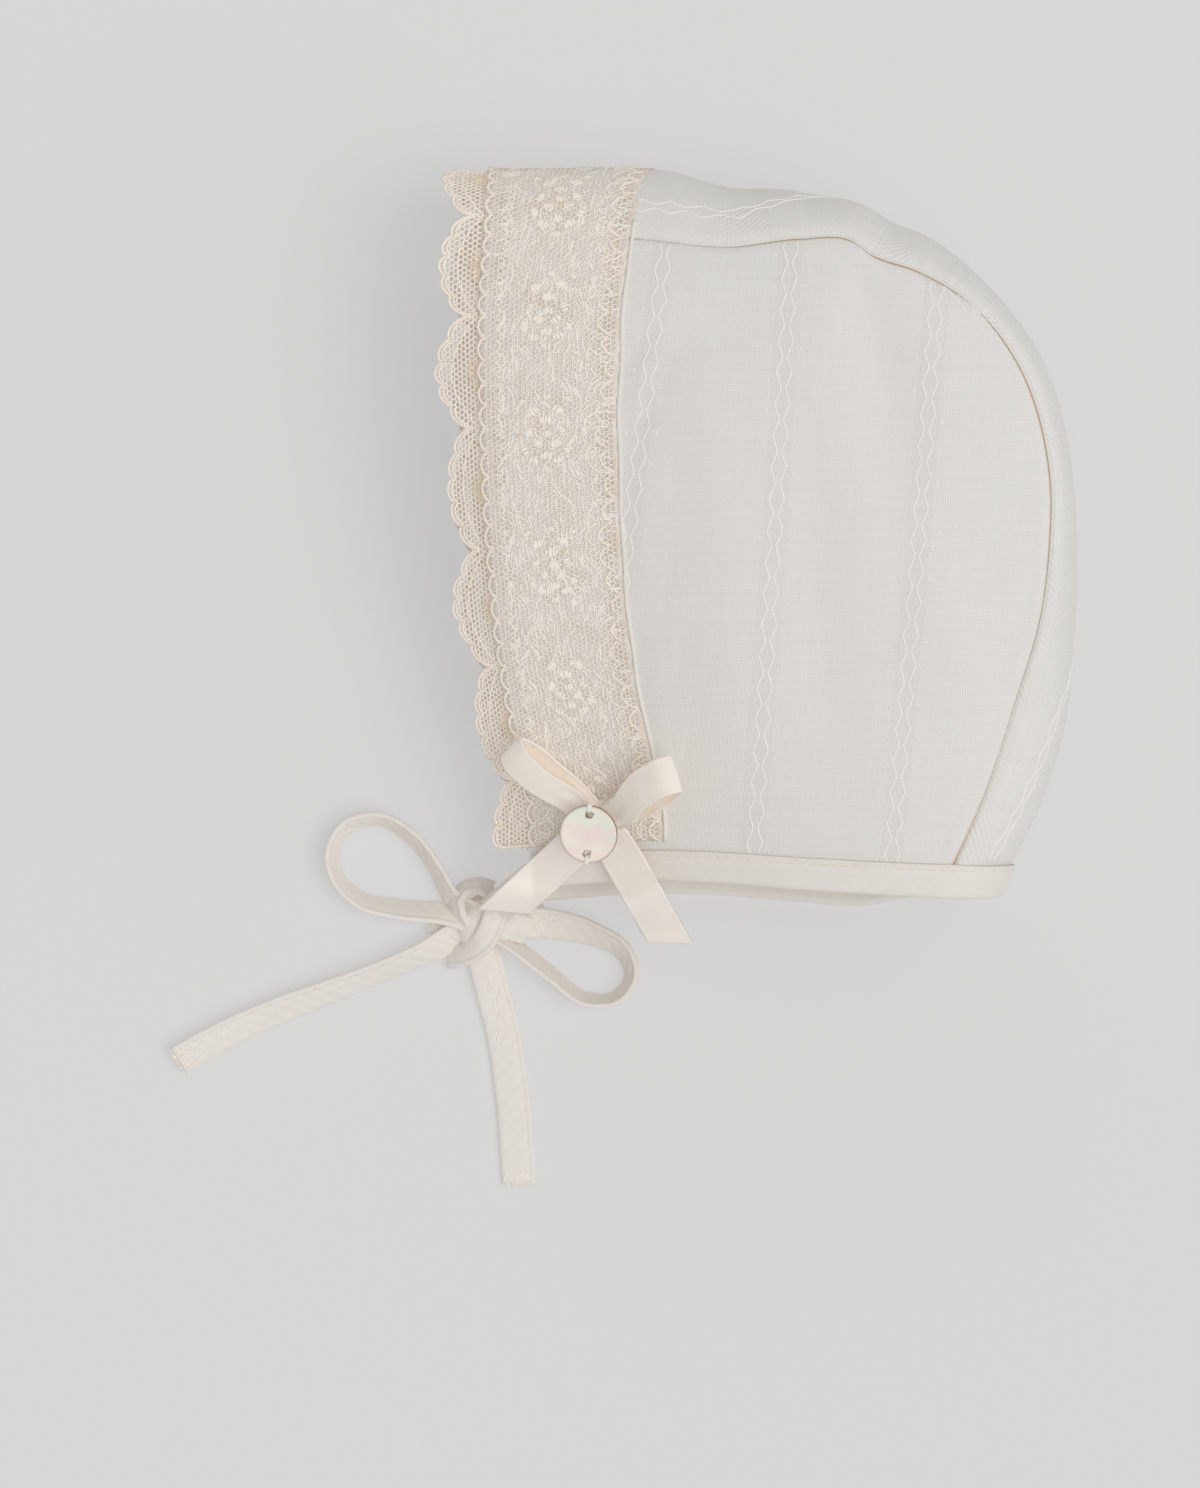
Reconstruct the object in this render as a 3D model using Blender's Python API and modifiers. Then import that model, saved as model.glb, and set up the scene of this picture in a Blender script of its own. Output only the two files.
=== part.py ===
"""A baby's bonnet lying on its right side, with its two ties in a bow.

Metres, +Z up. The wearer would face -X, with the top of the head at +Y, so the left side of the
hood is on top and the right side lies flat on the surface at Z = 0. The origin is on the flat
patch that the right panel rests on.

The hood is three pieces of cloth: a left and a right panel, joined by a crown strip that runs
from the forehead over the head to the nape. A lace band and a scalloped lace edging go round
the face, a folded binding goes round the neck and runs on into the ties, and a ribbon bow with
a shell button sits over the front corner of the left panel.
"""

import math

import bmesh
import bpy
import numpy as np
from mathutils import Matrix, Vector

# The hood. Its depth is from the front fold to the back of the crown seam, its height from the
# neck edge to the top of the crown seam, and its thickness from the floor to the crown seam.
HOOD_DEPTH = 0.1137
HOOD_HEIGHT = 0.1321
HOOD_THICKNESS = 0.0650
CROWN_BULGE = 0.0155
PANEL_DOME = 0.0060
REST_RISE = 0.0180
CLOTH = 0.0010
GAP = 0.0004
SEAM_GAP = 0.0006

# Where the origin is, behind the front fold and above the neck edge, as shares of the hood.
REST_BACK = 0.5585
REST_UP = 0.5170

# Lace, binding, ribbon, button and ties. BUTTON_LEVEL turns the button from the slope of the
# bow under it towards level.
LACE = 0.0010
BAND_WIDTH = 0.0280
BAND_INSET = 0.0010
EDGING_REACH = 0.0097
SCALLOP_PITCH = 0.0222
SCALLOP_VALLEY = 0.46
BINDING = 0.0010
BINDING_WIDTH = 0.0062
RIBBON = 0.0010
RIBBON_WIDTH = 0.0080
BOW_REACH = 0.0240
BOW_TAIL = 0.0270
BUTTON_DIAMETER = 0.0120
BUTTON_THICKNESS = 0.0016
BUTTON_HOLE = 0.0016
BUTTON_HOLE_SPACING = 0.0084
BUTTON_LEVEL = 1.6
TIE = 0.0016
TIE_WIDTH = 0.0072
KNOT_LENGTH = 0.0150
KNOT_WIDTH = 0.0110
KNOT_HEIGHT = 0.0095
KNOT_WRAP = 0.30
KNOT_PINCH = 0.12
KNOT_LEAN = -20.0
TIE_DROP = 0.0140
TIE_LOOP = 0.0300
TIE_END_FRONT = 0.0720
TIE_END_DOWN = 0.0560

# The crown seam from the forehead to the nape. back and up are shares of the hood's depth and
# height, over and under the heights of the left and right seams as shares of its thickness, and
# bulge is how far the strip stands out between them, as a share of CROWN_BULGE.
CROWN_SEAM = (
    # back, up, over, under, bulge
    (0.006, 1.000, 0.770, 0.130, 0.94),
    (0.136, 0.995, 0.830, 0.130, 0.96),
    (0.270, 0.992, 0.877, 0.125, 0.99),
    (0.437, 0.978, 0.923, 0.120, 0.94),
    (0.560, 0.989, 0.954, 0.120, 0.70),
    (0.648, 0.986, 0.969, 0.120, 0.56),
    (0.683, 0.965, 0.977, 0.120, 0.57),
    (0.770, 0.937, 0.992, 0.115, 0.53),
    (0.863, 0.886, 1.000, 0.115, 0.41),
    (0.942, 0.798, 0.992, 0.110, 0.37),
    (1.000, 0.616, 0.954, 0.110, 0.34),
    (0.999, 0.522, 0.923, 0.105, 0.40),
    (0.985, 0.419, 0.892, 0.105, 0.50),
    (0.943, 0.291, 0.840, 0.100, 0.72),
    (0.888, 0.145, 0.785, 0.095, 0.77),
    (0.815, 0.000, 0.725, 0.090, 0.77),
)
CROWN_ROW = 8
NAPE_LEVEL = 0.80

# The front fold from the crown seam to the front corner of the neck, and the neck edge from
# that corner to the nape. over is the left side's height, and the right side lies on the floor.
FRONT_FOLD = (
    # back, up, over
    (-0.001, 0.904, 0.800),
    (0.001, 0.721, 0.769),
    (0.014, 0.508, 0.690),
    (0.028, 0.385, 0.615),
    (0.045, 0.293, 0.540),
    (0.062, 0.215, 0.477),
    (0.081, 0.137, 0.408),
)
NECK_EDGE = (
    # back, up, over
    (0.087, 0.013, 0.292),
    (0.208, 0.022, 0.392),
    (0.318, 0.026, 0.508),
    (0.437, 0.023, 0.600),
    (0.564, 0.014, 0.669),
    (0.692, 0.007, 0.708),
)
RIGHT_NECK_DROP = 0.026

# How many faces the panels have from front to back and from top to neck, and the strip across.
PANEL_COLUMNS = 17
PANEL_ROWS = 15
STRIP_COLUMNS = 9
BAND_COLUMNS = 6
SCALLOP_STEPS = 7

# Shallow rolls and hollows in the left panel, where the cloth eases away from its seams. back
# and up place the middle of each, turn is its direction in degrees, length and width are shares
# of the hood's height and swell of PANEL_DOME.
SOFT_FOLDS = (
    # back, up, turn, length, width, swell
    (0.70, 0.80, 102.0, 0.17, 0.050, -0.26),
    (0.42, 0.52, 95.0, 0.36, 0.060, 0.14),
    (0.60, 0.44, 94.0, 0.30, 0.045, -0.13),
    (0.84, 0.36, 104.0, 0.24, 0.055, 0.15),
    (0.36, 0.84, 12.0, 0.14, 0.045, -0.15),
)

# The ribbon bow, seen from above. turn is the direction of each loop and tail in degrees.
# along and lift are shares of BOW_REACH, and gather is how much of the ribbon's width is left
# where it is drawn in under the button. roll is how far a loop turns on its edge, in degrees,
# and size and height say how much longer and higher it is than the profile.
# slant is how much longer a tail's left edge is than its right one, as a share of the width.
BOW_SEAT = (0.222, 0.115)
BOW_SPREAD = 0.0060
LOOP_PROFILE = (
    # along, lift, gather
    (-0.08, 0.020, 0.70),
    (0.30, 0.015, 0.82),
    (0.62, 0.040, 0.97),
    (0.90, 0.105, 1.00),
    (1.00, 0.200, 1.00),
    (0.93, 0.280, 1.00),
    (0.74, 0.285, 1.00),
    (0.50, 0.210, 0.92),
    (0.30, 0.120, 0.78),
    (-0.06, 0.085, 0.70),
)
BOW_LOOPS = (
    # turn, roll, size, height
    (138.0, -10.0, 0.98, 0.72),
    (38.0, -30.0, 1.10, 0.95),
)
BOW_TAILS = (
    # turn, reach, drop beyond the neck edge, slant
    (223.0, 1.03, 0.42, -0.90),
    (299.5, 1.07, 0.34, 0.60),
)

# The bow in the ties, seen from above and from the knot. along and across are shares of the
# size given with each piece, lift is a share of the tie's width, and roll is how far the tie
# stands up on its edge, in degrees.
TIE_BOW = {
    "tie_loop_front": (
        (
            # along, across, lift, roll
            (-0.200, 0.170, 0.62, 62.0),
            (-0.300, 0.350, 0.60, 68.0),
            (-0.480, 0.590, 0.57, 70.0),
            (-0.710, 0.720, 0.57, 72.0),
            (-0.940, 0.665, 0.57, 72.0),
            (-1.040, 0.490, 0.57, 72.0),
            (-0.990, 0.290, 0.57, 70.0),
            (-0.830, 0.145, 0.56, 66.0),
            (-0.600, 0.090, 0.55, 60.0),
            (-0.200, 0.050, 0.54, 52.0),
        ),
        TIE_LOOP,
    ),
    "tie_loop_back": (
        (
            (0.202, 0.000, 0.64, -18.0),
            (0.480, -0.010, 0.56, -30.0),
            (0.800, -0.090, 0.52, -50.0),
            (0.990, -0.200, 0.56, -62.0),
            (1.050, -0.365, 0.56, -72.0),
            (0.950, -0.525, 0.56, -74.0),
            (0.750, -0.545, 0.56, -72.0),
            (0.480, -0.360, 0.56, -70.0),
            (0.186, -0.136, 0.54, -68.0),
        ),
        TIE_LOOP,
    ),
    "tie_end_front": (
        (
            (-0.0745, -0.0455, 0.36, 3.0),
            (-0.150, -0.083, 0.37, 22.0),
            (-0.300, -0.147, 0.44, 42.0),
            (-0.440, -0.201, 0.49, 50.0),
            (-0.586, -0.256, 0.49, 50.0),
            (-0.776, -0.343, 0.47, 46.0),
            (-0.881, -0.402, 0.44, 40.0),
        ),
        TIE_END_FRONT,
    ),
    "tie_end_down": (
        (
            (0.010, -0.1235, 0.38, -3.0),
            (0.045, -0.270, 0.20, -1.0),
            (0.078, -0.400, 0.14, 0.0),
            (0.119, -0.680, 0.14, 0.0),
            (0.142, -0.975, 0.14, 0.0),
        ),
        TIE_END_DOWN,
    ),
}

# The ties from the front corners of the neck to the knot. way goes from the corner (0) to the
# middle of the knot (1).
TIE_LEADS = {
    "tie_lead_left": (
        "left",
        (
            # way, lift, roll
            (0.115, 2.58, 0.0),
            (0.36, 1.95, 0.0),
            (0.625, 1.14, 0.0),
        ),
    ),
    "tie_lead_right": (
        "right",
        (
            (0.09, 0.155, 0.0),
            (0.30, 0.145, 0.0),
            (0.550, 0.140, 0.0),
        ),
    ),
}
STRAP_STEPS = 24

COLLECTION = "baby_bonnet"


def clear_scene():
    for item in list(bpy.data.objects):
        bpy.data.objects.remove(item, do_unlink=True)
    for name in (COLLECTION, "cutters"):
        bpy.context.scene.collection.children.link(bpy.data.collections.new(name))


def finish(name, colour, roughness, metallic=0.0):
    """A Principled material with the piece's colour."""
    made = bpy.data.materials.new(name)
    made.use_nodes = True
    shader = made.node_tree.nodes["Principled BSDF"]
    shader.inputs["Base Color"].default_value = (*colour, 1.0)
    shader.inputs["Roughness"].default_value = roughness
    shader.inputs["Metallic"].default_value = metallic
    return made


def ramp(values):
    """0 below 0, 1 above 1, and an S-shaped rise between them."""
    share = np.clip(values, 0.0, 1.0)
    return share * share * (3.0 - 2.0 * share)


def knots_of(rows, columns):
    """Each row's share of the length along the polyline through the first columns."""
    steps = np.linalg.norm(np.diff(rows[:, :columns], axis=0), axis=1)
    return np.concatenate([[0.0], np.cumsum(steps)]) / steps.sum()


def along(rows, shares, columns=2):
    """Points on the smooth cubic curve through the rows, at shares of its length."""
    knots = knots_of(rows, columns)
    slopes = np.gradient(rows, knots, axis=0)
    shares = np.asarray(shares, float)
    row = np.clip(np.searchsorted(knots, shares, side="right") - 1, 0, len(knots) - 2)
    width = (knots[row + 1] - knots[row])[..., None]
    part = (shares - knots[row])[..., None] / width
    rise = part * part * (3.0 - 2.0 * part)
    start = part * (1.0 - part) ** 2 * width
    end = part * part * (part - 1.0) * width
    return rows[row] * (1 - rise) + rows[row + 1] * rise + slopes[row] * start + slopes[row + 1] * end


def unit(vectors):
    return vectors / np.linalg.norm(vectors, axis=-1, keepdims=True)


def placed(back, up, height):
    """A point of the hood from its shares of the depth, height and thickness."""
    back, up, height = np.broadcast_arrays(back, up, height)
    x, y = (back - REST_BACK) * HOOD_DEPTH, (up - REST_UP) * HOOD_HEIGHT
    return np.stack([x, y, height * HOOD_THICKNESS], axis=-1)


SEAM = np.array(CROWN_SEAM)
CROWN_SHARE = knots_of(SEAM, 2)[CROWN_ROW]
RIGHT_REST = (CLOTH + GAP + LACE) / HOOD_THICKNESS


def seam_line(shares, side):
    """The crown seam, with its outward direction in the plane of the panels.

    Towards the nape that direction turns level, so the strip ends in line with the neck edge.
    """
    rows = along(SEAM, shares)
    points = placed(rows[..., 0], rows[..., 1], rows[..., 2 if side == "left" else 3])
    nudge = 1e-4
    before = along(SEAM, np.clip(np.asarray(shares) - nudge, 0.0, 1.0))
    after = along(SEAM, np.clip(np.asarray(shares) + nudge, 0.0, 1.0))
    run = placed(after[..., 0], after[..., 1], 0.0) - placed(before[..., 0], before[..., 1], 0.0)
    run = unit(run)
    outward = np.stack([-run[..., 1], run[..., 0], run[..., 2]], axis=-1)
    level = ramp((np.asarray(shares) - NAPE_LEVEL) / (1 - NAPE_LEVEL))[..., None]
    return points, unit(outward * (1 - level) + np.array([1.0, 0.0, 0.0]) * level)


def edge_rows(side):
    """The front fold and the neck edge of one panel, from seam to corner and corner to nape."""
    seam = np.array([CROWN_SEAM[0][:3], CROWN_SEAM[-1][:3]])
    front, neck = np.array(FRONT_FOLD), np.array(NECK_EDGE)
    if side == "right":
        seam[:, 2] = [CROWN_SEAM[0][3], CROWN_SEAM[-1][3]]
        front[:, 2] = RIGHT_REST
        neck[:, 2] = RIGHT_REST
        neck[:, 1] -= RIGHT_NECK_DROP
    fold = np.vstack([seam[:1], front, neck[:1]])
    hem = np.vstack([neck, seam[1:]])
    return fold, hem


def soft_folds(points):
    """The height of all the rolls and hollows at these places, as a share of PANEL_DOME."""
    total = np.zeros(points.shape[:-1])
    for back, up, turn, length, width, swell in SOFT_FOLDS:
        away = points - placed(back, up, 0.0)
        run = (math.cos(math.radians(turn)), math.sin(math.radians(turn)))
        ahead = (away[..., 0] * run[0] + away[..., 1] * run[1]) / (length * HOOD_HEIGHT)
        aside = (away[..., 1] * run[0] - away[..., 0] * run[1]) / (width * HOOD_HEIGHT)
        total += swell * np.exp(-(ahead**2) - aside**2)
    return total


def panel(side, across, down):
    """The inner face of a side panel, a Coons patch between its four edges.

    across goes from the front fold (0) to the back, and down from the top (0) to the neck.
    The left panel is domed, and the right one lies flat on the floor and rises to its seam.
    """
    across, down = np.broadcast_arrays(np.asarray(across, float), np.asarray(down, float))
    fold, hem = edge_rows(side)
    pull = -0.5 * SEAM_GAP

    def seam(shares):
        points, outward = seam_line(shares, side)
        return points + pull * outward

    def edge(rows, shares):
        found = along(rows, shares)
        return placed(found[..., 0], found[..., 1], found[..., 2])

    top, back = seam(CROWN_SHARE * across), seam(CROWN_SHARE + (1 - CROWN_SHARE) * down)
    front, bottom = edge(fold, down), edge(hem, across)
    corners = [seam(0.0), seam(CROWN_SHARE), edge(hem, 0.0), seam(1.0)]
    a, d = across[..., None], down[..., None]
    points = (1 - d) * top + d * bottom + (1 - a) * front + a * back
    points = points - (
        (1 - a) * (1 - d) * corners[0]
        + a * (1 - d) * corners[1]
        + (1 - a) * d * corners[2]
        + a * d * corners[3]
    )
    if side == "left":
        swell = (16 * across * (1 - across) * down * (1 - down)) ** 0.7
        points[..., 2] += PANEL_DOME * (swell + np.minimum(2 * swell, 1) * soft_folds(points))
        return points
    from_front = np.linalg.norm((points - front)[..., :2], axis=-1)
    from_neck = np.linalg.norm((points - bottom)[..., :2], axis=-1)
    under_lace = 1 - ramp((from_front - BAND_WIDTH - 2 * LACE) / BINDING_WIDTH)
    under_hem = 1 - ramp((from_neck - BINDING_WIDTH - 2 * LACE) / BINDING_WIDTH)
    rest = CLOTH + (LACE + GAP) * np.maximum(under_lace, under_hem)
    from_top = np.linalg.norm((points - top)[..., :2], axis=-1)
    from_back = np.linalg.norm((points - back)[..., :2], axis=-1)
    low = ramp(from_top / REST_RISE) * ramp(from_back / REST_RISE)
    seam_height = ((1 - d) * top + d * back)[..., 2]
    points[..., 2] = np.maximum(rest, rest * low + seam_height * (1 - low))
    return points


def strip(shares, turn):
    """The inner face of the crown strip, a half ellipse from the left to the right seam.

    shares goes from the forehead (0) to the nape (1), and turn from the left seam (0) to the
    right one (1).
    """
    shares, turn = np.broadcast_arrays(np.asarray(shares, float), np.asarray(turn, float))
    left, outward = seam_line(shares, "left")
    right, _ = seam_line(shares, "right")
    bulge = along(SEAM, shares)[..., 4] * CROWN_BULGE
    angle = math.pi * turn
    points = left * 0.5 * (1 + np.cos(angle))[..., None] + right * 0.5 * (1 - np.cos(angle))[..., None]
    reach = 0.5 * SEAM_GAP + bulge * np.sin(angle)
    return points + reach[..., None] * outward


def panel_shares():
    """The panels' grid lines. The last row ends the lace band just above the binding."""
    fold = panel("left", 0.0, np.linspace(0, 1, 60))
    length = np.linalg.norm(np.diff(fold, axis=0), axis=1).sum()
    band_end = 1 - (BINDING_WIDTH + 2 * GAP) / length
    down = np.concatenate([np.linspace(0, band_end, PANEL_ROWS), [1.0]])
    return np.linspace(0, 1, PANEL_COLUMNS + 1), down


def normals_of(grid):
    """Unit normals of a grid of points, on the side that its columns and rows turn round."""
    return unit(np.cross(np.gradient(grid, axis=1), np.gradient(grid, axis=0)))


def behind_front(surface, depths, span):
    """Points at true distances behind the front fold, along each of a surface's own lines."""
    lines = surface(np.linspace(0, span, 80))
    steps = np.linalg.norm(np.diff(lines, axis=1), axis=2)
    lengths = np.concatenate([np.zeros((len(lines), 1)), np.cumsum(steps, axis=1)], axis=1)
    return np.array(
        [
            [[np.interp(depth, lengths[i], lines[i, :, k]) for k in range(3)] for depth in depths]
            for i in range(len(lines))
        ]
    )


def round_the_face(down, turn, depths):
    """The hood's inner face near the front, from the left neck corner to the right one.

    Each row is a place round the face, and each column a distance behind the front fold.
    """
    left_down = np.asarray(down)[::-1, None]
    right_down = np.asarray(down)[:, None]
    middle = np.asarray(turn)[1:-1, None]
    rows = [
        behind_front(lambda a: panel("left", a[None, :], left_down), depths, 0.5),
        behind_front(lambda s: strip(s[None, :], middle), depths, 0.4),
        behind_front(lambda a: panel("right", a[None, :], right_down), depths, 0.5),
    ]
    return np.vstack(rows)


def sheet(name, grid, thickness, material, outward=1.0):
    """A wall of cloth: an open grid of faces with Solidify, growing along its normals."""
    rows, columns = grid.shape[:2]
    index = np.arange(rows * columns).reshape(rows, columns)
    faces = np.stack([index[:-1, :-1], index[:-1, 1:], index[1:, 1:], index[1:, :-1]], axis=-1)
    mesh = bpy.data.meshes.new(name)
    mesh.from_pydata(grid.reshape(-1, 3).tolist(), [], faces.reshape(-1, 4).tolist())
    mesh.materials.append(material)
    made = bpy.data.objects.new(name, mesh)
    bpy.data.collections[COLLECTION].objects.link(made)
    wall = made.modifiers.new("wall", "SOLIDIFY")
    wall.thickness = thickness
    wall.offset = outward
    wall.use_even_offset = True
    mesh.shade_smooth()
    return made


def add_hood(cloth):
    """The two side panels and the crown strip between them."""
    across, down = panel_shares()
    sheet("left_panel", panel("left", across[:, None], down[None, :]), CLOTH, cloth)
    sheet("right_panel", panel("right", across[None, :], down[:, None]), CLOTH, cloth)
    shares = np.concatenate([CROWN_SHARE * across, CROWN_SHARE + (1 - CROWN_SHARE) * down[1:]])
    turn = np.linspace(0, 1, STRIP_COLUMNS + 1)
    sheet("crown_strip", strip(shares[None, :], turn[:, None]), CLOTH, cloth)


def add_lace_band(lace):
    """The wide lace band that covers the front of all three pieces."""
    _, down = panel_shares()
    turn = np.linspace(0, 1, STRIP_COLUMNS + 1)
    depths = np.linspace(BAND_INSET, BAND_WIDTH, BAND_COLUMNS + 1)
    grid = round_the_face(down[:-1], turn, depths)
    sheet("lace_band", grid + (CLOTH + GAP) * normals_of(grid), LACE, lace)


def add_lace_edging(lace):
    """The scalloped edging that stands forward of the front fold."""
    _, down = panel_shares()
    fine_down = np.interp(np.linspace(0, 1, 200), np.linspace(0, 1, PANEL_ROWS), down[:-1])
    grid = round_the_face(fine_down, np.linspace(0, 1, 90), [0.0, CLOTH])
    steps = np.linalg.norm(np.diff(grid[:, 0], axis=0), axis=1)
    lengths = np.concatenate([[0.0], np.cumsum(steps)])
    count = round(lengths[-1] / SCALLOP_PITCH)
    places = np.linspace(0, lengths[-1], count * SCALLOP_STEPS + 1)

    def sampled(values):
        return np.stack([np.interp(places, lengths, values[:, k]) for k in range(3)], axis=1)

    fold, inside = sampled(grid[:, 0]), sampled(grid[:, 1])
    forward = unit(fold - inside)
    arch = np.abs(np.sin(math.pi * np.linspace(0, count, len(places)))) ** 0.7
    reach = EDGING_REACH * (SCALLOP_VALLEY + (1 - SCALLOP_VALLEY) * arch)
    shares = np.array([1.0, 0.5, 0.0])
    out = GAP + (reach - GAP)[:, None] * shares[None, :]
    points = fold[:, None] + out[..., None] * forward[:, None]
    points[..., 2] = np.maximum(points[..., 2], LACE)
    sheet("lace_edging", points, LACE, lace)


def add_neck_binding(cloth):
    """The binding folded over the neck edge, from one front corner to the other."""
    across, down = panel_shares()
    turn = np.linspace(0, 1, STRIP_COLUMNS + 1)
    near_edge = [down[-2], down[-1]]
    left = panel("left", across[None, :], np.array(near_edge)[:, None])
    right = panel("right", across[::-1][None, :], np.array(near_edge)[:, None])
    shares = CROWN_SHARE + (1 - CROWN_SHARE) * np.array(near_edge)
    nape = strip(shares[:, None], turn[None, 1:-1])
    path = np.concatenate([left, nape, right], axis=1)
    down_way = unit(path[1:] - path[:1])
    normal = unit(np.cross(down_way[0], np.gradient(path[1], axis=0)))
    clear = GAP
    section = (
        # along the cloth, away from its inner face
        (-BINDING_WIDTH, CLOTH + clear),
        (clear, CLOTH + clear),
        (clear, -clear),
        (-BINDING_WIDTH, -clear),
    )
    grid = np.stack([path[1] + a * down_way[0] + b * normal for a, b in section], axis=1)
    sheet("neck_binding", grid, BINDING, cloth)


def top_height(points):
    """The height of the left panel's inner face at places seen from above."""
    fine = np.linspace(0, 1, 60)
    samples = panel("left", fine[:, None], fine[None, :]).reshape(-1, 3)
    away = np.linalg.norm(samples[None, :, :2] - points[:, None, :2], axis=2)
    near = np.argsort(away, axis=1)[:, :4]
    weight = 1 / (np.take_along_axis(away, near, axis=1) + 1e-6)
    return (samples[near, 2] * weight).sum(axis=1) / weight.sum(axis=1)


def bow_frame():
    """The seat of the ribbon bow on the lace band: its point, and its right, up and normal."""
    step = BOW_SPREAD / np.array([HOOD_DEPTH, HOOD_HEIGHT])
    back = BOW_SEAT[0] + step[0] * np.array([0.0, 1.0, -1.0, 0.0, 0.0])
    high = BOW_SEAT[1] + step[1] * np.array([0.0, 0.0, 0.0, 1.0, -1.0])
    points = placed(back, high, 0.0)
    points[:, 2] = top_height(points)
    up = unit(points[3] - points[4])
    normal = unit(np.cross(points[1] - points[2], up))
    return points[0] + (CLOTH + 2 * GAP + LACE) * normal, np.cross(up, normal), up, normal


def strap_grid(centres, width_way, width):
    """Two edges of a strap, half its width to each side of its centre line."""
    half = 0.5 * width * width_way
    return np.stack([centres - half, centres + half], axis=1)


def join(first, others):
    """Makes the solids one body with Boolean unions, and applies them."""
    for other in others:
        union = first.modifiers.new("join", "BOOLEAN")
        union.operation = "UNION"
        union.object = other
    graph = bpy.context.evaluated_depsgraph_get()
    mesh = bpy.data.meshes.new_from_object(first.evaluated_get(graph))
    first.modifiers.clear()
    first.data = mesh
    for other in others:
        bpy.data.objects.remove(other, do_unlink=True)
    return first


def add_ribbon_bow(satin):
    """Two loops and two tails that cross under the button, made one ribbon."""
    seat, side, up, normal = bow_frame()
    seat = seat + 0.5 * RIBBON * normal
    parts = []
    for number, (turn, roll, size, height) in enumerate(BOW_LOOPS):
        angle = math.radians(turn)
        ahead = math.cos(angle) * side + math.sin(angle) * up
        reach, lift, gather = along(np.array(LOOP_PROFILE), np.linspace(0, 1, STRAP_STEPS)).T
        lift = 0.085 + (lift - 0.085) * np.where(lift > 0.085, height, 1.0)
        tip = math.radians(roll) * ramp((reach - 0.2) / 0.5)
        aside = np.cross(normal, ahead)
        rest = 0.5 * RIBBON_WIDTH * np.abs(np.sin(tip)) + 0.3 * number * RIBBON
        level, rise = -lift * np.sin(tip) * BOW_REACH, lift * np.cos(tip) * BOW_REACH + rest
        out = reach * (1.0 + (size - 1.0) * ramp(reach))
        centres = seat + np.outer(out * BOW_REACH, ahead)
        centres = centres + np.outer(level, aside) + np.outer(rise, normal)
        width_way = np.outer(np.cos(tip), aside) + np.outer(np.sin(tip), normal)
        grid = strap_grid(centres, width_way * gather[:, None], RIBBON_WIDTH)
        parts.append(sheet("bow_loop", grid, RIBBON, satin, 0.0))
    hem = placed(0.0, NECK_EDGE[0][1], 0.0)[1] - 2 * BINDING
    for number, (turn, reach, drop, slant) in enumerate(BOW_TAILS):
        angle = math.radians(turn)
        ahead = np.array([math.cos(angle), math.sin(angle), 0.0])
        share = np.linspace(0, 1, STRAP_STEPS // 2)
        centres = seat + np.outer((share * (reach + 0.12) - 0.12) * BOW_TAIL, ahead)
        skew = np.outer(slant * ramp(2 * share - 1), ahead)
        gather = (0.8 + 0.2 * ramp(share / 0.4))[:, None]
        width_way = gather * np.cross([0.0, 0.0, 1.0], ahead) + skew
        lie = 1.2 * (CLOTH + LACE + 2 * GAP + 0.5 * RIBBON) + 0.35 * number * RIBBON
        grid = strap_grid(centres, width_way, RIBBON_WIDTH)
        beyond = ramp((hem - centres[:, 1]) / (0.35 * BOW_TAIL))[:, None]
        height = top_height(grid.reshape(-1, 3)).reshape(-1, 2)
        grid[..., 2] = height + lie - beyond * drop * BOW_TAIL
        parts.append(sheet("bow_tail", grid, RIBBON, satin, 0.0))
    bow = join(parts[0], parts[1:])
    bow.name = "ribbon_bow"


def add_shell_button(shell):
    """A flat round button with two holes, sewn on over the middle of the ribbon bow."""
    seat, _, up, normal = bow_frame()
    stack = 0.12 * BOW_REACH + 1.5 * RIBBON + GAP
    facing = unit(normal + np.array([0.0, 0.0, BUTTON_LEVEL]))
    up = unit(up - (up @ facing) * facing)
    frame = Matrix([np.cross(up, facing), up, facing]).transposed().to_4x4()
    spread = 0.5 * BUTTON_DIAMETER * np.linalg.norm(np.cross(normal, facing))
    centre = Vector(seat + (stack + 0.5 * BUTTON_THICKNESS) * normal + spread * facing)
    bpy.ops.mesh.primitive_cylinder_add(
        vertices=40, radius=0.5 * BUTTON_DIAMETER, depth=BUTTON_THICKNESS
    )
    button = bpy.context.object
    button.name = "shell_button"
    button.matrix_world = Matrix.Translation(centre) @ frame
    button.data.materials.append(shell)
    move_to(button, COLLECTION)
    rim = button.modifiers.new("rim", "BEVEL")
    rim.width = 0.2 * BUTTON_THICKNESS
    rim.segments = 2
    for end in (-0.5, 0.5):
        bpy.ops.mesh.primitive_cylinder_add(
            vertices=12, radius=0.5 * BUTTON_HOLE, depth=3 * BUTTON_THICKNESS
        )
        cutter = bpy.context.object
        cutter.matrix_world = (
            Matrix.Translation(centre + Vector(up) * end * BUTTON_HOLE_SPACING) @ frame
        )
        move_to(cutter, "cutters")
        cutter.hide_render = True
        cutter.display_type = "WIRE"
        hole = button.modifiers.new("hole", "BOOLEAN")
        hole.operation = "DIFFERENCE"
        hole.object = cutter


def move_to(item, collection):
    for owner in list(item.users_collection):
        owner.objects.unlink(item)
    bpy.data.collections[collection].objects.link(item)


def strap(name, rows, material, steps=STRAP_STEPS):
    """A flat tie along a smooth line. Each row is x, y, z and the roll onto its edge."""
    found = along(rows, np.linspace(0, 1, steps), 3)
    centres = found[:, :3]
    run = unit(np.gradient(centres, axis=0))
    level = unit(np.cross(run, [0.0, 0.0, 1.0]))
    over = np.cross(level, run)
    roll = np.radians(found[:, 3:])
    width_way = np.cos(roll) * level + np.sin(roll) * over
    return sheet(name, strap_grid(centres, width_way, TIE_WIDTH), TIE, material, 0.0)


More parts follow.
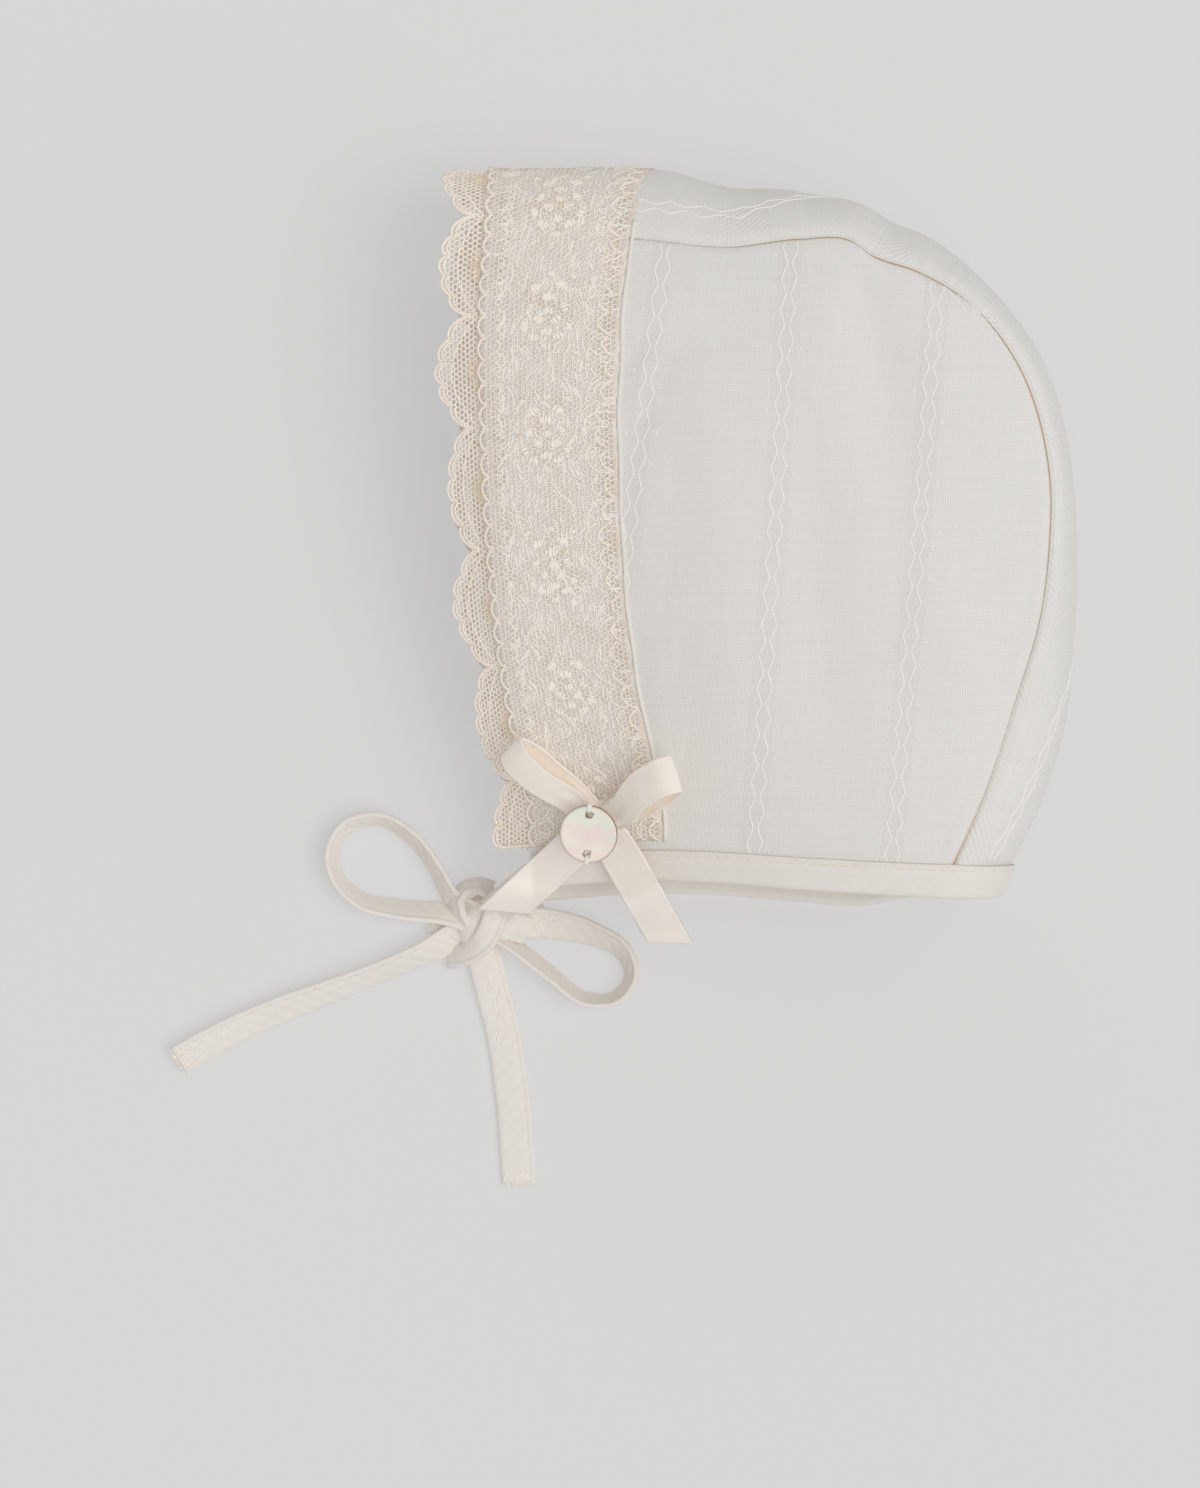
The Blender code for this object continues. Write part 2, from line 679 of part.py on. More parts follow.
def neck_corner(side):
    """The front corner of the neck, where the binding runs out into a tie."""
    _, hem = edge_rows(side)
    return placed(*hem[0])


def knot_centre():
    """The middle of the knot, below and in front of the corner of the neck."""
    corner = neck_corner("left")
    return np.array([corner[0] - 0.8 * TIE_DROP, corner[1] - 0.67 * TIE_DROP, 0.0])


def add_knot(cloth):
    """A flattened lump, with the wrap of the tie standing out round its middle."""
    bpy.ops.mesh.primitive_uv_sphere_add(segments=24, ring_count=14, radius=0.5)
    lump = bpy.context.object
    lump.name = "tie_knot"
    for vertex in lump.data.vertices:
        aside = abs(vertex.co.x) / KNOT_WRAP
        wrap = float(ramp(3.0 * (1.0 - aside)))
        vertex.co.y *= 1 - KNOT_PINCH * (1 - wrap)
        vertex.co.z *= 1 - KNOT_PINCH * (1 - wrap)
    size = Matrix.Diagonal((KNOT_WIDTH, KNOT_LENGTH, KNOT_HEIGHT, 1.0))
    lean = Matrix.Rotation(math.radians(KNOT_LEAN), 4, "Z")
    lump.data.transform(Matrix.Translation((0, 0, 0.5 * KNOT_HEIGHT)) @ lean @ size)
    lump.matrix_world = Matrix.Translation(knot_centre())
    lump.data.materials.append(cloth)
    lump.data.shade_smooth()
    move_to(lump, COLLECTION)


def add_ties(cloth):
    """The two ties: their leads from the neck, the loops of their bow and their ends."""
    knot = knot_centre()
    for name, (rows, size) in TIE_BOW.items():
        rows = np.array(rows, float) * [size, size, TIE_WIDTH, 1.0]
        rows[:, :3] += knot
        strap(name, rows, cloth)
    for name, (side, rows) in TIE_LEADS.items():
        start = neck_corner(side)
        rows = np.array(rows, float)
        flat = start[:2] + rows[:, :1] * (knot - start)[:2]
        strap(name, np.column_stack([flat, rows[:, 1] * TIE_WIDTH, rows[:, 2]]), cloth, 7)


def main():
    clear_scene()
    cloth = finish("cotton", (0.84, 0.82, 0.79), 0.9)
    lace = finish("lace", (0.82, 0.75, 0.67), 0.9)
    satin = finish("satin", (0.86, 0.81, 0.74), 0.5)
    shell = finish("shell", (0.86, 0.80, 0.77), 0.2)
    add_hood(cloth)
    add_lace_band(lace)
    add_lace_edging(lace)
    add_neck_binding(cloth)
    add_ribbon_bow(satin)
    add_shell_button(shell)
    add_knot(cloth)
    add_ties(cloth)


main()
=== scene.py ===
# %% [markdown]
# # A baby's bonnet in cotton and lace
# The bonnet lies on its right side and is seen from straight above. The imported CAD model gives
# every piece its place. This lesson dresses it in real cloth: woven cotton, net lace with its
# threads, satin ribbon, a shell button and rolled ties. All lengths are in metres.

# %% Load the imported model
import math
from functools import partial

import bpy
import numpy as np
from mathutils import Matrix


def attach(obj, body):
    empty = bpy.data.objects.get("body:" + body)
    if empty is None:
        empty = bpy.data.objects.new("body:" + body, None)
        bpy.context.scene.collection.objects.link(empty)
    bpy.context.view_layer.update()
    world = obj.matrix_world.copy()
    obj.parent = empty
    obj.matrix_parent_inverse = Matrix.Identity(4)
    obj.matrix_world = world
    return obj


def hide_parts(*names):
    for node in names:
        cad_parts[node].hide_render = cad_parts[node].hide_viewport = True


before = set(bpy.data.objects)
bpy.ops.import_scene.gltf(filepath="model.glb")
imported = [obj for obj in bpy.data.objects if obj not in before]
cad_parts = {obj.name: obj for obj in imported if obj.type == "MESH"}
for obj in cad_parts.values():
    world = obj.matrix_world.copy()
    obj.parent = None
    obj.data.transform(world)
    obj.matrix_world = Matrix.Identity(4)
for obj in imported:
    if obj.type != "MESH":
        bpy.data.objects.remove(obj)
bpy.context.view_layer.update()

rng = np.random.default_rng(7)
MM = 0.001
print("CAD nodes:", len(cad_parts))

# %% [markdown]
# ## Camera, floor and light
# The picture was taken from 1.4 m above with a long lens, so the bonnet looks almost flat. The
# floor is a plain pale grey board, lit a little from below as on a light table, which keeps the
# shadows faint. A soft box at the right gives a shadow to the left, and the white walls of the
# studio give the rest. A sun lamp with a wide angle is used as the soft box, because it lights
# the whole floor evenly.

# %% Camera
camera_data = bpy.data.cameras.new("camera")
camera = bpy.data.objects.new("camera", camera_data)
camera.location = (-0.0399, -0.03864, 1.4)
camera_data.sensor_fit = "HORIZONTAL"
camera_data.sensor_width = 36.0
camera_data.lens = 200.0
bpy.context.scene.collection.objects.link(camera)
bpy.context.scene.camera = camera
print("camera height:", camera.location.z)


# %% Colours and shader nodes
def linear(hex_colour):
    """An sRGB hex colour as linear red, green, blue and alpha."""
    channels = np.array([int(hex_colour[i : i + 2], 16) for i in (1, 3, 5)]) / 255
    bright = ((channels + 0.055) / 1.055) ** 2.4
    return (*np.where(channels <= 0.04045, channels / 12.92, bright).tolist(), 1.0)


def add_node(material, kind, settings=(), inputs=()):
    """Adds one shader node. settings may be just its operation, and inputs go by name or place.

    An input gets a value, an output, or a node, which stands for its first output.
    """
    made = material.node_tree.nodes.new("ShaderNode" + kind)
    for name, value in {"operation": settings}.items() if isinstance(settings, str) else dict(settings).items():
        setattr(made, name, value)
    for name, value in inputs.items() if isinstance(inputs, dict) else enumerate(inputs):
        value = value.outputs[0] if isinstance(value, bpy.types.Node) else value
        if isinstance(value, bpy.types.NodeSocket):
            material.node_tree.links.new(value, made.inputs[name])
        else:
            made.inputs[name].default_value = value
    return made


def new_finish(name, roughness, **constants):
    """A material with its Principled shader, and the values that are the same all over it."""
    material = bpy.data.materials.new(name)
    material.use_nodes = True
    shader = material.node_tree.nodes["Principled BSDF"]
    shader.inputs["Roughness"].default_value = roughness
    for name, value in constants.items():
        shader.inputs[name.replace("_", " ")].default_value = value
    return material, shader


def let_glow(shader, colour, strength):
    """A small glow: light that bounces between white fibres more often than a render follows."""
    shader.inputs["Emission Color"].default_value = linear(colour)
    shader.inputs["Emission Strength"].default_value = strength


def set_surface(material, shader, colour, height=None, strength=0.0, distance=0.0):
    """Gives the shader a colour that varies, and a fine relief where there is a height."""
    material.node_tree.links.new(colour.outputs[0], shader.inputs["Base Color"])
    if height:
        bump = add_node(material, "Bump", (), {"Height": height, "Strength": strength, "Distance": distance})
        material.node_tree.links.new(bump.outputs[0], shader.inputs["Normal"])


# %% Studio
def add_studio():
    """A floor at Z = 0, an even white surround and a wide soft lamp at the right."""
    board, shader = new_finish("backlit_board", 0.95, Specular_IOR_Level=0.0)
    let_glow(shader, "#D7D7D7", 0.58)
    place = add_node(board, "TexCoord").outputs["Object"]
    grain = add_node(board, "TexNoise", (), {"Vector": place, "Scale": 900.0})
    set_surface(board, shader, add_node(board, "MixRGB", (), [grain, linear("#9E9E9E"), linear("#9C9C9C")]))
    side = 3.0
    corners = [(-side, -side, 0), (side, -side, 0), (side, side, 0), (-side, side, 0)]
    mesh = bpy.data.meshes.new("floor")
    mesh.from_pydata(corners, [], [(0, 1, 2, 3)])
    mesh.materials.append(board)
    floor = bpy.data.objects.new("floor", mesh)
    bpy.context.scene.collection.objects.link(floor)
    world = bpy.data.worlds.new("studio")
    world.use_nodes = True
    world.node_tree.nodes["Background"].inputs["Color"].default_value = (1.0, 1.0, 1.0, 1.0)
    world.node_tree.nodes["Background"].inputs["Strength"].default_value = 0.50
    bpy.context.scene.world = world
    lamp = bpy.data.lights.new("soft_box", "SUN")
    lamp.energy = 1.15
    lamp.angle = math.radians(40)
    sun = bpy.data.objects.new("soft_box", lamp)
    sun.rotation_euler = (math.radians(5), math.radians(22), 0.0)
    bpy.context.scene.collection.objects.link(sun)
    bpy.context.scene.view_settings.view_transform = "Standard"


add_studio()
print("floor, surround and soft box are in place")

# %% [markdown]
# ## From numbers to a mesh
# Every piece is a surface worked out on a grid with numpy. Two parameters run over the grid, and
# the result goes into the mesh as whole arrays. A cloth keeps its weave in a UV map that counts
# millimetres along the threads, so the weave follows the cloth. A thread keeps how high each
# point stands in an attribute called crest, because the low parts of lace look darker.


# %% Mesh helpers
def unit(vectors):
    """Vectors scaled to length 1."""
    return vectors / np.linalg.norm(vectors, axis=-1, keepdims=True)


def lengths_along(points, axis=0):
    """How far each point of a line, or of every line of a grid, lies from its start."""
    first = np.take(points, [0], axis=axis)
    return np.cumsum(np.linalg.norm(np.diff(points, axis=axis, prepend=first), axis=-1), axis=axis)


def ramp(values):
    """0 below 0, 1 above 1, and an S-shaped rise between them."""
    share = np.clip(values, 0.0, 1.0)
    return share * share * (3.0 - 2.0 * share)


def grid_faces(rows, columns, ring=False):
    """Quads between neighbours of a grid, facing the side of columns x rows."""
    index = np.arange(rows * columns).reshape(rows, columns)
    if ring:
        index = np.concatenate([index, index[:, :1]], axis=1)
    quads = [index[:-1, :-1], index[:-1, 1:], index[1:, 1:], index[1:, :-1]]
    return np.stack(quads, axis=-1).reshape(-1, 4)


def wall_faces(rows, columns):
    """A closed wall of two grids: the outer one, the inner one turned round, and the rim."""
    outer = grid_faces(rows, columns)
    count = rows * columns
    index = np.arange(count).reshape(rows, columns)
    rim = np.concatenate([index[0], index[1:, -1], index[-1, -2::-1], index[-2:0:-1, 0]])
    after = np.roll(rim, -1)
    return [outer, outer[:, ::-1] + count, np.stack([after, rim, rim + count, after + count], axis=-1)]


def as_mesh(name, points, faces, uv=None, crest=None):
    """Puts points (n, 3) and lists of faces into a mesh, with what its material reads."""
    corners = np.concatenate([part.ravel() for part in faces]).astype(np.int32)
    sizes = np.concatenate([np.full(len(part), part.shape[1]) for part in faces])
    starts = np.concatenate([[0], np.cumsum(sizes)[:-1]]).astype(np.int32)
    mesh = bpy.data.meshes.new(name)
    mesh.vertices.add(len(points))
    mesh.vertices.foreach_set("co", points.astype(np.float32).ravel())
    mesh.loops.add(len(corners))
    mesh.loops.foreach_set("vertex_index", corners)
    mesh.polygons.add(len(starts))
    mesh.polygons.foreach_set("loop_start", starts)
    mesh.update(calc_edges=True)
    if uv is not None:
        layer = mesh.uv_layers.new(name="threads")
        layer.data.foreach_set("uv", uv[corners].astype(np.float32).ravel())
    if crest is not None:
        values = mesh.attributes.new("crest", "FLOAT", "POINT")
        values.data.foreach_set("value", crest.astype(np.float32))
    mesh.validate()
    mesh.shade_smooth()
    return mesh


def add_piece(name, points, faces, material, replaces=(), uv=None, crest=None):
    """A new piece of the bonnet, which rides on it, and stands for CAD nodes where it says so."""
    mesh = as_mesh(name, points, faces, uv, crest)
    mesh.materials.append(material)
    made = bpy.data.objects.new(name, mesh)
    bpy.context.scene.collection.objects.link(made)
    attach(made, "root")
    if replaces:
        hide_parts(*replaces)
    print(f"{name}: {sum((part.shape[1] - 2) * len(part) for part in faces)} triangles")
    return made


# %% [markdown]
# ## The shape of the hood
# The hood is two side panels and a strip of cloth over the crown. These tables and functions
# are the CAD part's own, so the fine cloth lies exactly where the coarse solids are. back and up
# are shares of the hood's depth and height, and over and under are heights above the floor.

# %% Sizes and the lines of the hood
HOOD_DEPTH, HOOD_HEIGHT, HOOD_THICKNESS = 0.1137, 0.1321, 0.0650
CROWN_BULGE, PANEL_DOME, REST_RISE = 0.0155, 0.0060, 0.0180
CLOTH, GAP, SEAM_GAP, LACE = 0.0010, 0.0004, 0.0006, 0.0010
REST_BACK, REST_UP = 0.5585, 0.5170
BAND_WIDTH, BINDING_WIDTH = 0.0280, 0.0062
CROWN_SEAM = np.array(
    (
        # back, up, over, under, bulge
        (0.006, 1.000, 0.770, 0.130, 0.94),
        (0.136, 0.995, 0.830, 0.130, 0.96),
        (0.270, 0.992, 0.877, 0.125, 0.99),
        (0.437, 0.978, 0.923, 0.120, 0.94),
        (0.560, 0.989, 0.954, 0.120, 0.70),
        (0.648, 0.986, 0.969, 0.120, 0.56),
        (0.683, 0.965, 0.977, 0.120, 0.57),
        (0.770, 0.937, 0.992, 0.115, 0.53),
        (0.863, 0.886, 1.000, 0.115, 0.41),
        (0.942, 0.798, 0.992, 0.110, 0.37),
        (1.000, 0.616, 0.954, 0.110, 0.34),
        (0.999, 0.522, 0.923, 0.105, 0.40),
        (0.985, 0.419, 0.892, 0.105, 0.50),
        (0.943, 0.291, 0.840, 0.100, 0.72),
        (0.888, 0.145, 0.785, 0.095, 0.77),
        (0.815, 0.000, 0.725, 0.090, 0.77),
    )
)
FRONT_FOLD = np.array(
    (
        # back, up, over
        (-0.001, 0.904, 0.800),
        (0.001, 0.721, 0.769),
        (0.014, 0.508, 0.690),
        (0.028, 0.385, 0.615),
        (0.045, 0.293, 0.540),
        (0.062, 0.215, 0.477),
        (0.081, 0.137, 0.408),
    )
)
NECK_EDGE = np.array(
    (
        # back, up, over
        (0.087, 0.013, 0.292),
        (0.208, 0.022, 0.392),
        (0.318, 0.026, 0.508),
        (0.437, 0.023, 0.600),
        (0.564, 0.014, 0.669),
        (0.692, 0.007, 0.708),
    )
)
SOFT_FOLDS = (
    # back, up, turn, length, width, swell
    (0.70, 0.80, 102.0, 0.17, 0.050, -0.26),
    (0.42, 0.52, 95.0, 0.36, 0.060, 0.14),
    (0.60, 0.44, 94.0, 0.30, 0.045, -0.13),
    (0.84, 0.36, 104.0, 0.24, 0.055, 0.15),
    (0.36, 0.84, 12.0, 0.14, 0.045, -0.15),
)
CROWN_ROW, NAPE_LEVEL, RIGHT_NECK_DROP = 8, 0.80, 0.026


# %% Curves through a table
def knots_of(rows, columns):
    """Each row's share of the length along the polyline through the first columns."""
    lengths = lengths_along(rows[:, :columns])
    return lengths / lengths[-1]


def along(rows, shares, columns=2):
    """Points on the cubic curve through the rows, at shares of its length."""
    knots = knots_of(rows, columns)
    slopes = np.gradient(rows, knots, axis=0)
    shares = np.asarray(shares, float)
    row = np.clip(np.searchsorted(knots, shares, side="right") - 1, 0, len(knots) - 2)
    width = (knots[row + 1] - knots[row])[..., None]
    part = (shares - knots[row])[..., None] / width
    rise = part * part * (3.0 - 2.0 * part)
    start = part * (1.0 - part) ** 2 * width
    end = part * part * (part - 1.0) * width
    return rows[row] * (1 - rise) + rows[row + 1] * rise + slopes[row] * start + slopes[row + 1] * end


def placed(back, up, height):
    """A point of the hood from its shares of the depth, height and thickness."""
    back, up, height = np.broadcast_arrays(back, up, height)
    x, y = (back - REST_BACK) * HOOD_DEPTH, (up - REST_UP) * HOOD_HEIGHT
    return np.stack([x, y, height * HOOD_THICKNESS], axis=-1)


CROWN_SHARE = knots_of(CROWN_SEAM, 2)[CROWN_ROW]
RIGHT_REST = (CLOTH + GAP + LACE) / HOOD_THICKNESS


def seam_line(shares, side):
    """The crown seam, and its outward direction, which turns level towards the nape."""
    shares = np.asarray(shares, float)
    rows = along(CROWN_SEAM, shares)
    points = placed(rows[..., 0], rows[..., 1], rows[..., 2 if side == "left" else 3])
    nudge = 1e-4
    before = along(CROWN_SEAM, np.clip(shares - nudge, 0.0, 1.0))
    after = along(CROWN_SEAM, np.clip(shares + nudge, 0.0, 1.0))
    run = placed(after[..., 0], after[..., 1], 0.0) - placed(before[..., 0], before[..., 1], 0.0)
    run = unit(run)
    outward = np.stack([-run[..., 1], run[..., 0], run[..., 2]], axis=-1)
    level = ramp((shares - NAPE_LEVEL) / (1 - NAPE_LEVEL))[..., None]
    return points, unit(outward * (1 - level) + np.array([1.0, 0.0, 0.0]) * level)


def edge_rows(side):
    """The front fold and the neck edge of one panel."""
    seam = CROWN_SEAM[[0, -1], :3].copy()
    front, neck = FRONT_FOLD.copy(), NECK_EDGE.copy()
    if side == "right":
        seam[:, 2] = CROWN_SEAM[[0, -1], 3]
        front[:, 2] = RIGHT_REST
        neck[:, 2] = RIGHT_REST
        neck[:, 1] -= RIGHT_NECK_DROP
    return np.vstack([seam[:1], front, neck[:1]]), np.vstack([neck, seam[1:]])


# %% The surfaces of the panels and the strip
def soft_folds(points):
    """Rolls and hollows: a sum of long Gaussian ridges, each along its own direction."""
    total = np.zeros(points.shape[:-1])
    for back, up, turn, length, width, swell in SOFT_FOLDS:
        away = points - placed(back, up, 0.0)
        run = (math.cos(math.radians(turn)), math.sin(math.radians(turn)))
        ahead = (away[..., 0] * run[0] + away[..., 1] * run[1]) / (length * HOOD_HEIGHT)
        aside = (away[..., 1] * run[0] - away[..., 0] * run[1]) / (width * HOOD_HEIGHT)
        total += swell * np.exp(-(ahead**2) - aside**2)
    return total


def panel(side, across, down):
    """The inner face of a side panel: a Coons patch, which blends its four edge curves.

    across goes from the front fold (0) to the back, and down from the top (0) to the neck.
    """
    across, down = np.broadcast_arrays(np.asarray(across, float), np.asarray(down, float))
    fold, hem = edge_rows(side)

    def seam(shares):
        points, outward = seam_line(shares, side)
        return points - 0.5 * SEAM_GAP * outward

    def edge(rows, shares):
        found = along(rows, shares)
        return placed(found[..., 0], found[..., 1], found[..., 2])

    top, back = seam(CROWN_SHARE * across), seam(CROWN_SHARE + (1 - CROWN_SHARE) * down)
    front, bottom = edge(fold, down), edge(hem, across)
    corners = [seam(0.0), seam(CROWN_SHARE), edge(hem, 0.0), seam(1.0)]
    a, d = across[..., None], down[..., None]
    points = (1 - d) * top + d * bottom + (1 - a) * front + a * back
    points = points - (
        (1 - a) * (1 - d) * corners[0]
        + a * (1 - d) * corners[1]
        + (1 - a) * d * corners[2]
        + a * d * corners[3]
    )
    if side == "left":
        swell = (16 * across * (1 - across) * down * (1 - down)) ** 0.7
        points[..., 2] += PANEL_DOME * (swell + np.minimum(2 * swell, 1) * soft_folds(points))
        return points
    from_front = np.linalg.norm((points - front)[..., :2], axis=-1)
    from_neck = np.linalg.norm((points - bottom)[..., :2], axis=-1)
    under_lace = 1 - ramp((from_front - BAND_WIDTH - 2 * LACE) / BINDING_WIDTH)
    under_hem = 1 - ramp((from_neck - BINDING_WIDTH - 2 * LACE) / BINDING_WIDTH)
    rest = CLOTH + (LACE + GAP) * np.maximum(under_lace, under_hem)
    from_top = np.linalg.norm((points - top)[..., :2], axis=-1)
    from_back = np.linalg.norm((points - back)[..., :2], axis=-1)
    low = ramp(from_top / REST_RISE) * ramp(from_back / REST_RISE)
    seam_height = ((1 - d) * top + d * back)[..., 2]
    points[..., 2] = np.maximum(rest, rest * low + seam_height * (1 - low))
    return points


def strip(shares, turn):
    """The inner face of the crown strip: half an ellipse from the left to the right seam."""
    shares, turn = np.broadcast_arrays(np.asarray(shares, float), np.asarray(turn, float))
    left, outward = seam_line(shares, "left")
    right, _ = seam_line(shares, "right")
    angle = math.pi * turn
    points = left * 0.5 * (1 + np.cos(angle))[..., None] + right * 0.5 * (1 - np.cos(angle))[..., None]
    bulge = along(CROWN_SEAM, shares)[..., 4] * CROWN_BULGE
    reach = 0.5 * SEAM_GAP + bulge * np.sin(angle)
    return points + reach[..., None] * outward


fold_line = panel("left", 0.0, np.linspace(0, 1, 60))
fold_length = lengths_along(fold_line)[-1]
BAND_END = 1 - (BINDING_WIDTH + 2 * GAP) / fold_length
print(f"the front fold is {fold_length / MM:.0f} mm long on each side")


# %% [markdown]
# ## Cloth that other things lie on
# Lace, stitches and raised threads are drawn flat first, and then lifted on to the cloth. For
# that a cloth is a fine grid of points with its normals. A flat place (row, column) is looked up
# between four grid points, and a height is added along the normal.


# %% Lifting a flat drawing on to a cloth
def normals_of(grid):
    """Unit normals of a grid of points, on the side of columns x rows."""
    return unit(np.cross(np.gradient(grid, axis=1), np.gradient(grid, axis=0)))


def between(grid, place):
    """Values between a grid's points: a weighted mean of the four that surround each place."""
    rows, columns = grid.shape[:2]
    place = np.clip(place, 0, [rows - 1.001, columns - 1.001])
    row, column = np.floor(place).astype(int)[..., 0], np.floor(place).astype(int)[..., 1]
    u, v = (place[..., 0] - row)[..., None], (place[..., 1] - column)[..., None]
    upper = grid[row, column] * (1 - v) + grid[row, column + 1] * v
    lower = grid[row + 1, column] * (1 - v) + grid[row + 1, column + 1] * v
    return upper * (1 - u) + lower * u


def find_on(grid, wanted):
    """The places on a grid that have these x and y: the nearest point, then Newton's steps."""
    stride = 5
    coarse = grid[::stride, ::stride, :2]
    away = ((wanted[:, None] - coarse.reshape(1, -1, 2)) ** 2).sum(axis=-1)
    row, column = np.unravel_index(np.argmin(away, axis=1), coarse.shape[:2])
    place = stride * np.stack([row, column], axis=-1).astype(float)
    for _ in range(8):
        here = between(grid, place)[:, :2]
        by_row = between(grid, place + [0.5, 0.0])[:, :2] - between(grid, place - [0.5, 0.0])[:, :2]
        by_column = between(grid, place + [0.0, 0.5])[:, :2] - between(grid, place - [0.0, 0.5])[:, :2]
        size = by_row[:, 0] * by_column[:, 1] - by_row[:, 1] * by_column[:, 0]
        size = np.where(np.abs(size) < 1e-12, 1e-12, size)
        miss = wanted - here
        step_row = (miss[:, 0] * by_column[:, 1] - miss[:, 1] * by_column[:, 0]) / size
        step_column = (by_row[:, 0] * miss[:, 1] - by_row[:, 1] * miss[:, 0]) / size
        place = place + np.clip(np.stack([step_row, step_column], axis=-1), -6, 6)
        place = np.clip(place, 0, [grid.shape[0] - 1.5, grid.shape[1] - 1.5])
    return place


# %% [markdown]
# ## Cotton voile with dobby stripes
# The cloth is a plain weave of fine cotton: every warp thread goes over one weft thread and
# under the next. Cotton is matt, with a soft sheen at grazing angles from its loose fibres. The
# real threads are about 0.4 mm apart, which is just wide enough to show. The weave is a height
# pattern in the shader, because it is too fine for geometry.

# %% Woven cotton
WEAVE = 0.42  # millimetres between threads
STRIPE_GROUND = 2.3  # half the width of a dobby stripe's ground, in millimetres
RIB_PITCH, RIB_SLANT = 0.87, math.radians(37)  # the slanted ribs of the strip, in millimetres


def woven_cotton(name, stripes=(), turn=0.0, light="#F3F1EE", dark="#DAD8D3", ribs=False, glow=("#FFE9D4", 0.025)):
    """Plain weave: a thread's height is |sin| across it, and crossings alternate like a checker.

    stripes are the places, in millimetres across the cloth, where a denser ground shows. ribs
    adds patches of slanted ribs: a sine of the place along (-sin 37, cos 37) times slow noise.
    """
    cloth, shader = new_finish(name, 0.88, Sheen_Weight=0.12, Sheen_Roughness=0.5, Specular_IOR_Level=0.25)
    let_glow(shader, *glow)
    add = partial(add_node, cloth)
    threads = add("UVMap", {"uv_map": "threads"})
    turned = add("Mapping", (), {"Vector": threads, "Rotation": (0.0, 0.0, math.radians(turn))})
    place = add("SeparateXYZ", (), [turned]).outputs
    waves = [add("Math", "SINE", [add("Math", "MULTIPLY", [place[axis], math.pi / WEAVE])]) for axis in "XY"]
    warp, weft = (add("Math", "ABSOLUTE", [wave]) for wave in waves)
    over = add("Math", "GREATER_THAN", [add("Math", "MULTIPLY", waves), 0.0])
    warp_up = add("Math", "MULTIPLY", [warp, add("Math", "POWER", [weft, 0.4])])
    weft_up = add("Math", "MULTIPLY", [weft, add("Math", "POWER", [warp, 0.4])])
    height = add("Mix", (), {"Factor": over, "A": weft_up, "B": warp_up})
    slubs = []
    for stretch in ((0.9, 0.07, 1.0), (0.07, 0.9, 1.0)):
        long = add("VectorMath", "MULTIPLY", [turned, stretch])
        slubs.append(add("TexNoise", (), {"Vector": long, "Scale": 1.0, "Detail": 3.0}))
    uneven = add("Math", "MULTIPLY", [add("Math", "ADD", slubs), 0.25])
    tone = add("Math", "MULTIPLY_ADD", [height, 0.72, uneven])
    for centre in stripes:
        aside = add("Math", "ABSOLUTE", [add("Math", "SUBTRACT", [place["X"], centre])])
        tone = add("Math", "MULTIPLY_ADD", [add("Math", "LESS_THAN", [aside, STRIPE_GROUND]), -0.12, tone])
    if ribs:
        slant = add("Math", "MULTIPLY", [place["X"], math.cos(RIB_SLANT)])
        slant = add("Math", "MULTIPLY_ADD", [place["Y"], -math.sin(RIB_SLANT), slant])
        rib = add("Math", "SINE", [add("Math", "MULTIPLY", [slant, 2 * math.pi / RIB_PITCH])])
        patch = add("TexNoise", (), {"Vector": turned, "Scale": 0.055, "Detail": 1.0})
        shown = add("MapRange", (), {"Value": patch, "From Min": 0.46, "From Max": 0.60})
        rib = add("Math", "MULTIPLY", [rib, shown])
        tone = add("Math", "MULTIPLY_ADD", [rib, 0.16, tone])
        height = add("Math", "MULTIPLY_ADD", [rib, 0.9, height])
    # The colour follows the height of the weave and of the ribs: their low parts are painted shade.
    colour = add("MixRGB", {"use_clamp": True}, [tone, linear(dark), linear(light)])
    set_surface(cloth, shader, colour, add("Math", "ADD", [height, uneven]), 0.35, 0.00012)
    return cloth


# %% Where the dobby stripes run
STRIPE_APART = 27.0  # millimetres of weave between two stripes of a panel
STRIPES_LEFT = (
    # x at the top, y at the top, x at the neck, y at the neck, in millimetres
    (-26.8, 61.8, -34.9, -1.6),
    (-1.65, 61.8, -8.7, -61.0),
    (27.5, 53.8, 19.1, -62.0),
)
STRIPES_STRIP = (
    # rows of share of the strip's length, share of its width
    ((0.13, 0.11), (0.21, 0.11), (0.25, 0.17), (0.29, 0.29), (0.325, 0.50), (0.40, 0.70), (1.0, 0.75)),
    ((0.13, 0.62), (0.55, 0.86), (0.70, 0.72), (0.766, 0.50), (0.80, 0.33), (0.84, 0.21), (0.96, 0.145)),
)


def stripe_x(stripe, y):
    """The x of a stripe's straight centre line at each y."""
    top_x, top_y, low_x, low_y = np.array(stripe) * MM
    return top_x + (top_x - low_x) / (top_y - low_y) * (y - top_y)


def panel_threads(points):
    """The weave's millimetres across and along a panel, so that its stripes run straight in it."""
    first, middle, last = (stripe_x(stripe, points[..., 1]) for stripe in STRIPES_LEFT)
    share = np.where(
        points[..., 0] < middle,
        (points[..., 0] - middle) / (middle - first),
        (points[..., 0] - middle) / (last - middle),
    )
    return np.stack([STRIPE_APART * share, points[..., 1] / MM], axis=-1)


panel_cotton = woven_cotton("cotton_voile_panel", stripes=(-STRIPE_APART, 0.0, STRIPE_APART))
strip_cotton = woven_cotton("cotton_voile_strip", ribs=True)
print("cotton materials:", panel_cotton.name, strip_cotton.name)

# %% [markdown]
# ## The hood's three pieces of cloth
# Each piece is a closed wall: its inner face is the CAD surface, and its outer face stands a
# cloth's thickness off. Beside a seam the cloth swells over the seam allowance and then dives
# into the stitches, and where the stitches pull, it puckers into short pleats across the seam.


